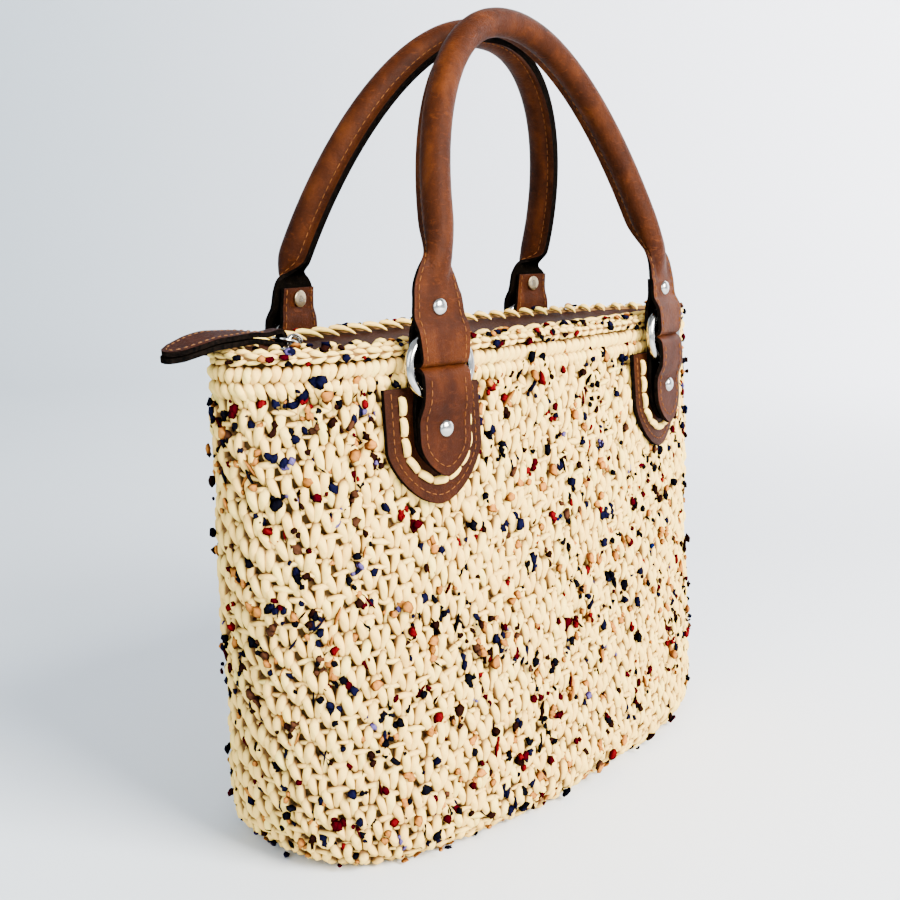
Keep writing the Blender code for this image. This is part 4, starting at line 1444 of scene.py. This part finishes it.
def patch_row(inset, end, face):
    """A path inside the patch's edge: down one side, round and up the other."""
    share = np.sin(np.linspace(-0.5, 0.5, 120) * pi)
    foot = patch_foot(share, inset * PATCH_POINT_INSET)
    half = PATCH_HALF_WIDTH - inset
    top = np.linspace(inset * 0.35, foot[0], 12, endpoint=False)
    across = np.concatenate([np.full(12, -half), share * half, np.full(12, half)])
    drop = np.concatenate([top, foot, top[::-1]])
    return patch_places(across, drop, end, face)


def make_patch(end, face):
    spot = mount_name(end, face)
    piece = leather_piece("leather_patch_" + spot, "patch_leather", "patch_" + spot,
                          36, 22, patch_carry(end, face), (0, face, 0), patch_leather,
                          PATCH_THICKNESS)
    sew("patch_thread_" + spot, "patch_leather", piece,
        [patch_row(MACHINE_INSET, end, face)])
    sew("hand_stitches_" + spot, "cream_yarn", piece, [patch_row(HAND_INSET, end, face)],
        pitch=HAND_STITCH, gap=0.0001, half_width=0.00175, half_thick=0.00130,
        lift=0.0009, tint=CREAM, template=leg_grain, blunt=0.38)


for end, face in MOUNTS:
    make_patch(end, face)
print("patches:", len(MOUNTS))

# %% [markdown]
# ## Tabs
#
# A tab comes up behind the ring, folds over it and ends in a blunt point below
# the rivet. It is as wide as the handle's strap, with a machine row along its
# edges.

# %% Fold the tabs
TAB_SHOULDER = TAB_WIDTH * 0.55
TAB_BACK = PATCH_FACE + CLEARANCE + LEATHER / 2
TAB_STAND = 0.0013
TAB_ROW_START = 0.0045
TAB_TAIL_INSET = 0.0012
TAB_FRONT = TAB_BACK + LEATHER + SLIT + TAB_STAND


def tab_side(distance):
    """Half width before the point: narrower in the ring, wider below it."""
    wider = STRAP_WIDTH - STRAP_FOLD_WIDTH
    return (STRAP_FOLD_WIDTH + wider * smooth_step(0.007, 0.022, distance)) / 2


def tab_half(distance, inset=0.0):
    """Half width of the tab's front at a distance from its fold."""
    length = TAB_LENGTH - inset * TAB_POINT_INSET
    start = TAB_LENGTH - TAB_SHOULDER
    share = np.clip((distance - start) / (length - start), 0.0, 1.0)
    narrow = np.maximum(1 - share ** POINT_POWER, 0) ** POINT_ROUNDNESS
    return (tab_side(distance) - inset) * narrow


def tab_point(standoff, turn, inset=0.0):
    """Rows of the point of one of the tab's two layers."""
    start = TAB_LENGTH - TAB_SHOULDER
    share = np.sin(np.linspace(0, 0.5, 14)[1:] * pi)
    length = TAB_LENGTH - inset * TAB_POINT_INSET
    distance = start + (length - start) * np.minimum(share, 0.99999)
    return np.stack([distance, 0 * distance + standoff, 0 * distance + turn,
                     tab_half(distance, inset)], 1)


def tab_stations():
    """Rows of (distance, standoff, turn, half width) from point to point."""
    rivet = TAB_RIVET_DROP - FOLD_GAP / 2
    start = TAB_LENGTH - TAB_SHOULDER
    path = cut_corners(fold_path(rivet, start, start, TAB_BACK, TAB_FRONT, TAB_BACK))
    sides = tab_side(path[:, 0]) - np.where(path[:, 2] > pi / 2, TAB_TAIL_INSET, 0)
    whole = np.concatenate([path, sides[:, None]], 1)
    tail = tab_point(TAB_BACK, pi, TAB_TAIL_INSET)[::-1]
    return np.concatenate([tail, whole, tab_point(TAB_FRONT, 0.0)])


def tab_carry(end, face):
    stations = tab_stations()
    turn_matrix = np.array(mount_frame(end, face))[:3, :3]

    def carry(u, v):
        distance, standoff, turn, half = read_rows(stations, v).T
        rise = -(FOLD_GAP / 2 + distance)
        x = half * (1 - 2 * u)
        centre = np.stack([x, standoff + wall_lean(rise), rise], 1)
        out = np.stack([0 * turn, np.cos(turn), np.sin(turn)], 1)
        return placed(centre, end, face) + out @ turn_matrix.T * LEATHER / 2
    return carry


def tab_row(end, face, inset=MACHINE_INSET):
    """The sewn row on the tab's front, near its edge."""
    rise = np.linspace(TAB_ROW_START, TAB_LENGTH - inset * TAB_POINT_INSET, 90)
    half = tab_half(rise, inset)
    x = np.concatenate([half, -half[::-1]])
    distance = np.concatenate([rise, rise[::-1]])
    share = smooth_step(RING_RADIUS * RING_FLATNESS, TAB_RIVET_DROP - RIVET_RADIUS, distance)
    standoff = LOOP_FRONT + (TAB_FRONT - LOOP_FRONT) * share + LEATHER / 2
    z = -(FOLD_GAP / 2 + distance)
    points = np.stack([x, standoff + wall_lean(z), z], 1)
    return placed(points, end, face)


def make_tab(end, face):
    spot = mount_name(end, face)
    piece = leather_piece("leather_tab_" + spot, "tab_leather", "tab_" + spot, 16,
                          len(tab_stations()) - 1, tab_carry(end, face),
                          (0, 0.3 * face, 1), tab_leather, LEATHER * 0.95)
    sew("tab_thread_" + spot, "tab_leather", piece, [tab_row(end, face)])


for end, face in MOUNTS:
    make_tab(end, face)
print("tabs:", len(MOUNTS))

# %% [markdown]
# ## Metal
#
# Rings and rivets are nickel plated and polished. Each rivet has a duller brass
# cap at the back. Polished metal needs little: fine scratches that change only
# how rough it is.

# %% Make the metals
def make_metal(name, colour, dull):
    metal = Finish(name, Metallic=1.0)
    where = metal.places()
    scratches = metal.noise(metal.stretched(where, (1.0, 1.0, 7.0)), 900.0, 2.0)
    smudge = metal.noise(where, 260.0, 2.0)
    light = tuple(min(channel * 1.08, 1.0) for channel in colour)
    metal.paint("Base Color", metal.ramp(smudge, (0.3, colour), (0.7, light)))
    metal.paint("Roughness", dull + scratches * 0.10 + smudge * 0.08)
    metal.bump(scratches, 0.00003, 0.5)
    return metal.material


nickel = make_metal("polished_nickel", (0.42, 0.41, 0.38), 0.05)
brass = make_metal("dull_brass", (0.40, 0.31, 0.18), 0.20)


def to_mount(piece, slot, node, rise, end, face):
    """Move a piece that was modelled in a mount's frame to its mount."""
    piece.data.transform(Matrix.Translation((0, 0, rise)))
    points = read_points(piece.data)
    points[:, 1] += wall_lean(points[:, 2] if rise == 0 else rise)
    move_points(piece.data, points)
    piece.data.transform(mount_frame(end, face))
    fit(piece, slot, node)


def make_ring(end, face):
    bpy.ops.mesh.primitive_torus_add(location=(0, RING_STANDOFF, 0),
                                     rotation=(pi / 2, 0, 0), major_segments=72,
                                     minor_segments=14, major_radius=RING_RADIUS,
                                     minor_radius=RING_WIRE)
    ring = bake((1.0, RING_FLATNESS, 1.0))
    ring.name = "metal_ring_" + mount_name(end, face)
    ring.data.shade_smooth()
    dress(ring, nickel)
    to_mount(ring, "bright_metal", "ring_" + mount_name(end, face), 0, end, face)


# %% Make the rivets
RIVET_POST = 0.0015
RIVET_CAP = 0.0009
RIVET_DOME = 0.0021


def disc(radius, thickness, along):
    """A round plate with a soft edge, standing off along Y."""
    bpy.ops.mesh.primitive_cylinder_add(vertices=32, radius=radius, depth=thickness,
                                        location=(0, along + thickness / 2, 0),
                                        rotation=(pi / 2, 0, 0))
    return bake()


def dome(radius, height, along):
    """The upper half of a flattened ball, closed underneath."""
    bpy.ops.mesh.primitive_uv_sphere_add(segments=32, ring_count=14, radius=1.0,
                                         location=(0, along, 0), rotation=(-pi / 2, 0, 0))
    head = bake((radius, radius, height))
    in_edit_mode(head, lambda: bpy.ops.mesh.bisect(plane_co=(0, along, 0),
                                                   plane_no=(0, 1, 0), use_fill=True,
                                                   clear_inner=True))
    return head


def make_rivet(kind, rise, back, front, end, face):
    """Head, post and back cap, joined to one piece."""
    node = kind + "_rivet_" + mount_name(end, face)
    head = dome(RIVET_RADIUS, RIVET_DOME, front)
    post = disc(RIVET_POST, front - back, back)
    cap = disc(RIVET_RADIUS, RIVET_CAP, back)
    finish_with(cap, "BEVEL", width=RIVET_CAP * 0.4, segments=3, limit_method="ANGLE")
    for part, metal in ((head, nickel), (post, nickel), (cap, brass)):
        dress(part, metal)
    join(head, post, cap)
    head.name = "metal_" + node
    head.data.shade_smooth()
    head.data.set_sharp_from_angle(angle=radians(50))
    to_mount(head, "rivet_metal", node, rise, end, face)


TAB_HEAD = TAB_FRONT + LEATHER / 2
STRAP_HEAD = strap_front() + LEATHER / 2
STRAP_CAP = STRAP_STANDOFF - LEATHER / 2 - CLEARANCE - RIVET_CAP
for end, face in MOUNTS:
    make_ring(end, face)
    make_rivet("tab", -TAB_RIVET_DROP, CLEARANCE, TAB_HEAD, end, face)
    make_rivet("handle", STRAP_RIVET_RISE, STRAP_CAP, STRAP_HEAD, end, face)
print("rings and rivets:", 3 * len(MOUNTS))

# %% [markdown]
# ## The mouth
#
# Two strips of leather run from the worked edge down to the zip, which lies a
# little lower. The edge is whipped to them with long slanting stitches that
# taper towards the zip.

# %% Cut the strips
ZIP_SINK = 0.0095
ZIP_END_RISE = 0.005
PANEL_SINK = 0.0038
PANEL_THICKNESS = 0.0014
CHAIN_HALF = 0.0030
ZIP_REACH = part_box("zip_chain")[1].x
PANEL_INNER = CHAIN_HALF + CLEARANCE
PANEL_TUCK = 0.0046
PANEL_ROW_INSET = 0.0025
ZIP_ROW_SHARE = 0.985


def zip_height(x):
    """The zip's height: sunk, and rising to both ends."""
    return BODY_HEIGHT - ZIP_SINK + ZIP_END_RISE * (np.abs(x) / ZIP_REACH) ** 4


def strip_height(x, y, most):
    """A strip's height at a distance from the zip's middle line."""
    edge = np.maximum(depth_at(x, BODY_HEIGHT, RIM_WIDTH + CLEARANCE), PANEL_INNER + 0.001)
    low, high = zip_height(x), BODY_HEIGHT - PANEL_SINK
    return low + (high - low) * np.clip((y - PANEL_INNER) / (edge - PANEL_INNER), 0, most)


def panel_point(x, share, face):
    """A place on a strip: share 0 at the zip and 1 at the worked edge."""
    tuck = np.maximum(depth_at(x, BODY_HEIGHT, PANEL_TUCK), PANEL_INNER + 0.002)
    y = PANEL_INNER + (tuck - PANEL_INNER) * share
    return np.stack([x, face * y, strip_height(x, y, 1.15)], 1)


def panel_carry(face):
    def carry(u, v):
        x = ZIP_REACH * np.sin((u - 0.5) * pi)
        return panel_point(x, v, face) + np.array([[0, 0, PANEL_THICKNESS / 2]])
    return carry


def make_panel(name, face):
    piece = leather_piece("leather_" + name, "panel_leather", name, 120, 8,
                          panel_carry(face), (0, 0, 1), panel_leather, PANEL_THICKNESS)
    x = np.linspace(-ZIP_REACH * ZIP_ROW_SHARE, ZIP_REACH * ZIP_ROW_SHARE, 200)
    row = panel_point(x, 0.0 * x, face)
    row += np.array([0, face * PANEL_ROW_INSET, PANEL_THICKNESS / 2])
    sew(name + "_thread", "panel_leather", piece, [row], tint=(0.05, 0.018, 0.008))


make_panel("zip_panel_front", -1)
make_panel("zip_panel_back", 1)

# %% Whip the edge to the strips
WHIPS = 58
WHIP_SWEEP = 0.0085
WHIP_INSET = 0.0105
UPWARDS = np.array([[0.0, 0.0, 1.0]])


def work_whips():
    """Stitches from the edge's top down to the strips, all slanting one way."""
    share = (np.arange(WHIPS) + 0.5) / WHIPS
    count = np.zeros(WHIPS)
    starts = on_rim(share, count + WHIP_SWEEP * 0.45, count + 1.75, count + 0.0002)
    inner_ring = even_ring(BODY_HEIGHT, WHIP_INSET)[0]
    step = ((share - WHIP_SWEEP * 0.55 / rim_round) * ROUND_STEPS).astype(int)
    tips = inner_ring[step % ROUND_STEPS]
    face = np.sign(tips[:, 1])
    y = np.maximum(np.abs(tips[:, 1]), PANEL_INNER + 0.0012)
    height = strip_height(tips[:, 0], y, 1.1) + PANEL_THICKNESS / 2 + 0.0006
    ends = np.stack([tips[:, 0], face * y, height], 1)
    keep = np.abs(ends[:, 0]) < ZIP_REACH * 0.96
    return lay_threads("edge_whips", "rim_yarn", starts[keep], ends[keep], UPWARDS,
                       half_width=0.00225, half_thick=0.0017, lift=0.0012, tint=CREAM,
                       taper=0.55, template=leg_grain)


whips = work_whips()
print("whip stitches:", len(whips.data.polygons) // len(leg_grain[1]))

# %% [markdown]
# ## The zip
#
# The zip is a black nylon coil: two rows of small loops that catch in each
# other, sewn to a narrow woven tape.

# %% Make the zip
COIL_PITCH = 0.0013
COIL_REACH = 0.0024
COIL_CATCH = 0.0006
TAPE_SINK = 0.0007


def make_nylon():
    nylon = Finish("black_nylon", Specular_IOR_Level=0.5)
    where = nylon.places()
    weave = nylon.node("ShaderNodeTexWave",
                       {"wave_type": "BANDS", "bands_direction": "DIAGONAL"},
                       {"Vector": where, "Scale": 420.0, "Distortion": 1.5}, output=1)
    nylon.paint("Base Color", nylon.ramp(weave, (0.2, (0.006, 0.006, 0.007)),
                                         (0.8, (0.020, 0.020, 0.023))))
    nylon.paint("Roughness", 0.38 + weave * 0.25)
    nylon.bump(weave, 0.0002, 0.7)
    return nylon.material


black_nylon = make_nylon()


def tape_carry(u, v):
    x = ZIP_REACH * (2 * u - 1)
    y = (PANEL_INNER + 0.0012) * (2 * v - 1)
    return np.stack([x, y, zip_height(x) - TAPE_SINK + 0 * y], 1)


tape = carried_sheet("zip_tape", 120, 4, tape_carry)
finish_with(tape, "SOLIDIFY", thickness=0.0008, offset=-1.0)
dress(tape, black_nylon)
fit(tape, "zip_black")


def make_coil():
    """Loops from both sides that reach past the middle in turn."""
    number = int(2 * ZIP_REACH * ZIP_ROW_SHARE / COIL_PITCH)
    x = (np.arange(number) - (number - 1) / 2) * COIL_PITCH
    side = np.where(np.arange(number) % 2 == 0, 1.0, -1.0)
    z = zip_height(x) + 0.0002
    starts = np.stack([x, side * COIL_REACH, z], 1)
    ends = np.stack([x, -side * COIL_CATCH, z], 1)
    return lay_threads("zip_coil", "zip_black", starts, ends, UPWARDS,
                       half_width=0.00060, half_thick=0.00075, lift=0.0002,
                       tint=(0.01, 0.01, 0.011), node="zip_chain")


coil = make_coil()
dress(coil, black_nylon)
print("loops in the coil:", len(coil.data.polygons) // len(small_grain[1]))

# %% [markdown]
# ## Slider and pull
#
# The slider is a small rounded block with a wire eye. A ring hangs in the eye
# and carries the pull, a leather leaf of two layers with black edges.

# %% Make the slider and its ring
SLIDER_X = -0.122
SLIDER_SIZE = (0.0100, 0.0075, 0.0036)
BAIL_RADIUS = 0.0033
BAIL_WIRE = 0.0008
PULL_RING_RADIUS = 0.0047
PULL_RING_WIRE = 0.00075
PULL_RING_TILT = radians(18)
CHAIN_THICKNESS = 0.0022


def slider_base():
    half = SLIDER_SIZE[0] / 2
    ends = zip_height(SLIDER_X - half) + zip_height(SLIDER_X + half)
    return ends / 2 + CHAIN_THICKNESS / 2 + CLEARANCE


BAIL_CENTRE = Vector((SLIDER_X, 0, slider_base() + SLIDER_SIZE[2] + BAIL_RADIUS
                      - BAIL_WIRE - CLEARANCE * 4))
HOOK = BAIL_CENTRE + Vector((-2 * PULL_RING_RADIUS * cos(PULL_RING_TILT), 0,
                             2 * PULL_RING_RADIUS * sin(PULL_RING_TILT)))


def wire_ring(name, centre, rotation, radius, wire, stretch):
    """A ring of round wire, drawn a little oval by its use."""
    bpy.ops.mesh.primitive_torus_add(location=centre, rotation=rotation,
                                     major_segments=48, minor_segments=12,
                                     major_radius=radius, minor_radius=wire)
    made = bake()
    made.name = name
    in_edit_mode(made, lambda: bpy.ops.transform.resize(value=stretch))
    made.data.shade_smooth()
    dress(made, nickel)
    return made


def make_slider():
    """A waisted block, wider where the tapes part, joined to its eye."""
    place = (SLIDER_X, 0, slider_base() + SLIDER_SIZE[2] / 2)
    half = SLIDER_SIZE[0] / 2
    tilt = atan2(zip_height(SLIDER_X - half) - zip_height(SLIDER_X + half), 2 * half)
    bpy.ops.mesh.primitive_cube_add(size=1.0, location=place, rotation=(0, tilt, 0))
    block = bake(SLIDER_SIZE)
    in_edit_mode(block, lambda: bpy.ops.mesh.subdivide(number_cuts=3))
    for point in block.data.vertices:
        near = (point.co.x - SLIDER_X) / SLIDER_SIZE[0]
        point.co.y *= 0.86 + 0.28 * max(near, 0.0) ** 0.7
    finish_with(block, "BEVEL", width=0.0009, segments=4, limit_method="ANGLE",
                angle_limit=radians(50))
    block.data.shade_smooth()
    dress(block, nickel)
    bail = wire_ring("bail", BAIL_CENTRE, (pi / 2, 0, 0), BAIL_RADIUS, BAIL_WIRE,
                     (1.08, 1.25, 1.0))
    join(block, bail)
    block.name = "metal_slider"
    fit(block, "zip_metal", "zip_slider")


make_slider()
pull_ring = wire_ring("metal_pull_ring", (BAIL_CENTRE + HOOK) / 2,
                      (0, PULL_RING_TILT, 0), PULL_RING_RADIUS, PULL_RING_WIRE,
                      (1.0, 0.92, 1.0))
fit(pull_ring, "zip_metal", "zip_ring")

# %% Fold and sew the pull
PULL_LENGTH = 0.053
PULL_WIDTH = 0.0136
PULL_NECK = 0.0046
PULL_FOLD_ROOM = 0.0009
PULL_THICKNESS = 0.0020
PULL_DROP = 0.0050
PULL_ROLL = radians(7)
PULL_LEAF = np.array([
    (0.00, 0.00), (0.15, 0.30), (0.35, 0.80), (0.55, 1.00),
    (0.75, 0.98), (0.90, 0.78), (0.98, 0.42), (1.00, 0.16),
])


def pull_half(share):
    leaf = np.interp(share, PULL_LEAF[:, 0], PULL_LEAF[:, 1])
    near = PULL_NECK / 2 + (PULL_WIDTH - PULL_NECK) / 2 * leaf
    return np.where(share > 0.55, PULL_WIDTH / 2 * leaf, near)


def pull_layer(share, side):
    """Rows of (centre, across, out, half width) along one layer."""
    distance = share * PULL_LENGTH
    rest = (BODY_HEIGHT + PULL_THICKNESS + SLIT + CLEARANCE
            + PULL_WIDTH / 2 * sin(PULL_ROLL) - HOOK.z)
    height = rest * smooth_step(0, 0.35, share) - PULL_DROP * smooth_step(0.55, 1.1, share)
    roll = PULL_ROLL * smooth_step(0.1, 0.6, share)
    fold = PULL_RING_WIRE + PULL_FOLD_ROOM + PULL_THICKNESS / 2
    closed = SLIT / 2 + PULL_THICKNESS / 2
    apart = fold + (closed - fold) * smooth_step(0, 0.16, share)
    zero = 0 * share
    across = np.stack([zero, np.cos(roll), np.sin(roll)], 1)
    out = np.stack([zero, -np.sin(roll), np.cos(roll)], 1)
    centre = np.array(HOOK)[None] + np.stack([-distance, zero, height], 1)
    centre = centre + out * side * apart[:, None]
    return np.concatenate([centre, across, out * side, pull_half(share)[:, None]], 1)


def pull_stations():
    """Lower layer from tip to fold, the fold, and the upper layer."""
    share = 1 - (1 - np.linspace(0, 1, 44)) ** 1.6
    upper = pull_layer(share, 1)
    lower = pull_layer(share, -1)
    turns = np.linspace(pi, 0, 12)[1:-1]
    fold = PULL_RING_WIRE + PULL_FOLD_ROOM + PULL_THICKNESS / 2
    out = np.stack([np.sin(turns), 0 * turns, np.cos(turns)], 1)
    side = np.tile([[0.0, 1.0, 0.0]], (len(turns), 1))
    half = np.full((len(turns), 1), PULL_NECK / 2)
    bend = np.concatenate([np.array(HOOK)[None] + out * fold, side, out, half], 1)
    return np.concatenate([lower[::-1], bend, upper])


def pull_carry(u, v):
    row = read_rows(pull_stations(), v)
    x = row[:, 9] * (1 - 2 * u)
    return (row[:, :3] + unit(row[:, 3:6]) * x[:, None]
            + unit(row[:, 6:9]) * PULL_THICKNESS / 2)


pull = leather_piece("leather_zip_pull", "pull_leather", "zip_pull_tab", 12, 110,
                     pull_carry, (1, 0, 0), panel_leather, PULL_THICKNESS * 0.96)
leaf_share = np.linspace(0.14, 0.965, 120)
pull_rows = []
for side in (1, -1):
    layer = pull_layer(leaf_share, side)
    reach = np.maximum(layer[:, 9] - 0.0019, 0.0003)[:, None]
    face_line = layer[:, :3] + layer[:, 6:9] * PULL_THICKNESS / 2
    edge_path = np.concatenate([face_line + layer[:, 3:6] * reach,
                                (face_line - layer[:, 3:6] * reach)[::-1]])
    pull_rows.append(edge_path)
sew("pull_thread", "pull_leather", pull, pull_rows, pitch=0.0029, gap=0.0005,
    half_width=0.00026, tint=(0.16, 0.075, 0.035))
print("pull reaches", round(PULL_LENGTH * 1000), "mm from its ring")

# %% [markdown]
# ## Floor and light
#
# The bag stands on a pale studio floor that curves up into its own backdrop,
# so there is no horizon. Its colour is a painted shade gradient: blue-grey
# towards the camera's left, near white towards its right. Light is soft and
# comes from all sides. The strongest lamp stands in front, and another
# brightens the backdrop's right side.

# %% Make the floor
FLAT_RADIUS = 1.5
SWEEP_RADIUS = 1.3
SWEEP_TOP = 0.7


def carry_floor(u, v):
    """A round floor whose outer part curves up."""
    reach = v * (FLAT_RADIUS + SWEEP_RADIUS * pi / 2 + SWEEP_TOP)
    bend = np.clip((reach - FLAT_RADIUS) / SWEEP_RADIUS, 0, pi / 2)
    past = np.maximum(reach - FLAT_RADIUS - SWEEP_RADIUS * pi / 2, 0)
    radius = np.minimum(reach, FLAT_RADIUS) + SWEEP_RADIUS * np.sin(bend)
    height = SWEEP_RADIUS * (1 - np.cos(bend)) + past
    return np.stack([radius * np.cos(u * 2 * pi), radius * np.sin(u * 2 * pi), height], 1)


floor = carried_sheet("floor", 96, 48, carry_floor)
in_edit_mode(floor, merge(0.0005))
floor_finish = Finish("floor_with_painted_shade", Roughness=0.7, Specular_IOR_Level=0.3)
floor_places = floor_finish.places()
# Painted shade: the floor's colour runs from a darker blue-grey on the camera's left to near
# white on its right.
across = floor_finish.axis(floor_places, 0) * 0.77 - floor_finish.axis(floor_places, 1) * 0.64
floor_finish.paint("Base Color", floor_finish.mix(across.between(-1.3, 1.5),
                                                  (0.42, 0.50, 0.55, 1.0),
                                                  (0.95, 0.95, 1.00, 1.0)))
dress(floor, floor_finish.material)


# %% Light the set
def soft_lamp(name, place, size, power, colour=(1.0, 1.0, 1.0), target=(0, 0, 0.12)):
    """A square lamp that looks at the bag's middle or at another target."""
    bpy.ops.object.light_add(type="AREA", location=place)
    lamp = bpy.context.object
    lamp.name = name
    aim = Vector(target) - Vector(place)
    lamp.rotation_euler = aim.to_track_quat("-Z", "Y").to_euler()
    lamp.data.size = size
    lamp.data.energy = power
    lamp.data.color = colour


soft_lamp("key", (0.0, -1.25, 0.95), 0.8, 122.0, (1.0, 0.97, 0.92))
soft_lamp("fill", (-1.3, -0.4, 0.9), 1.0, 20.0, (0.94, 0.97, 1.0))
soft_lamp("right", (1.35, 0.3, 1.1), 1.0, 9.0)
soft_lamp("backdrop", (1.5, -0.5, 1.5), 1.0, 125.0, target=(2.9, 0.5, 0.9))
world = bpy.data.worlds.new("studio")
bpy.context.scene.world = world
world.use_nodes = True
background = world.node_tree.nodes["Background"]
background.inputs["Color"].default_value = (0.84, 0.91, 1.00, 1.0)
background.inputs["Strength"].default_value = 0.85
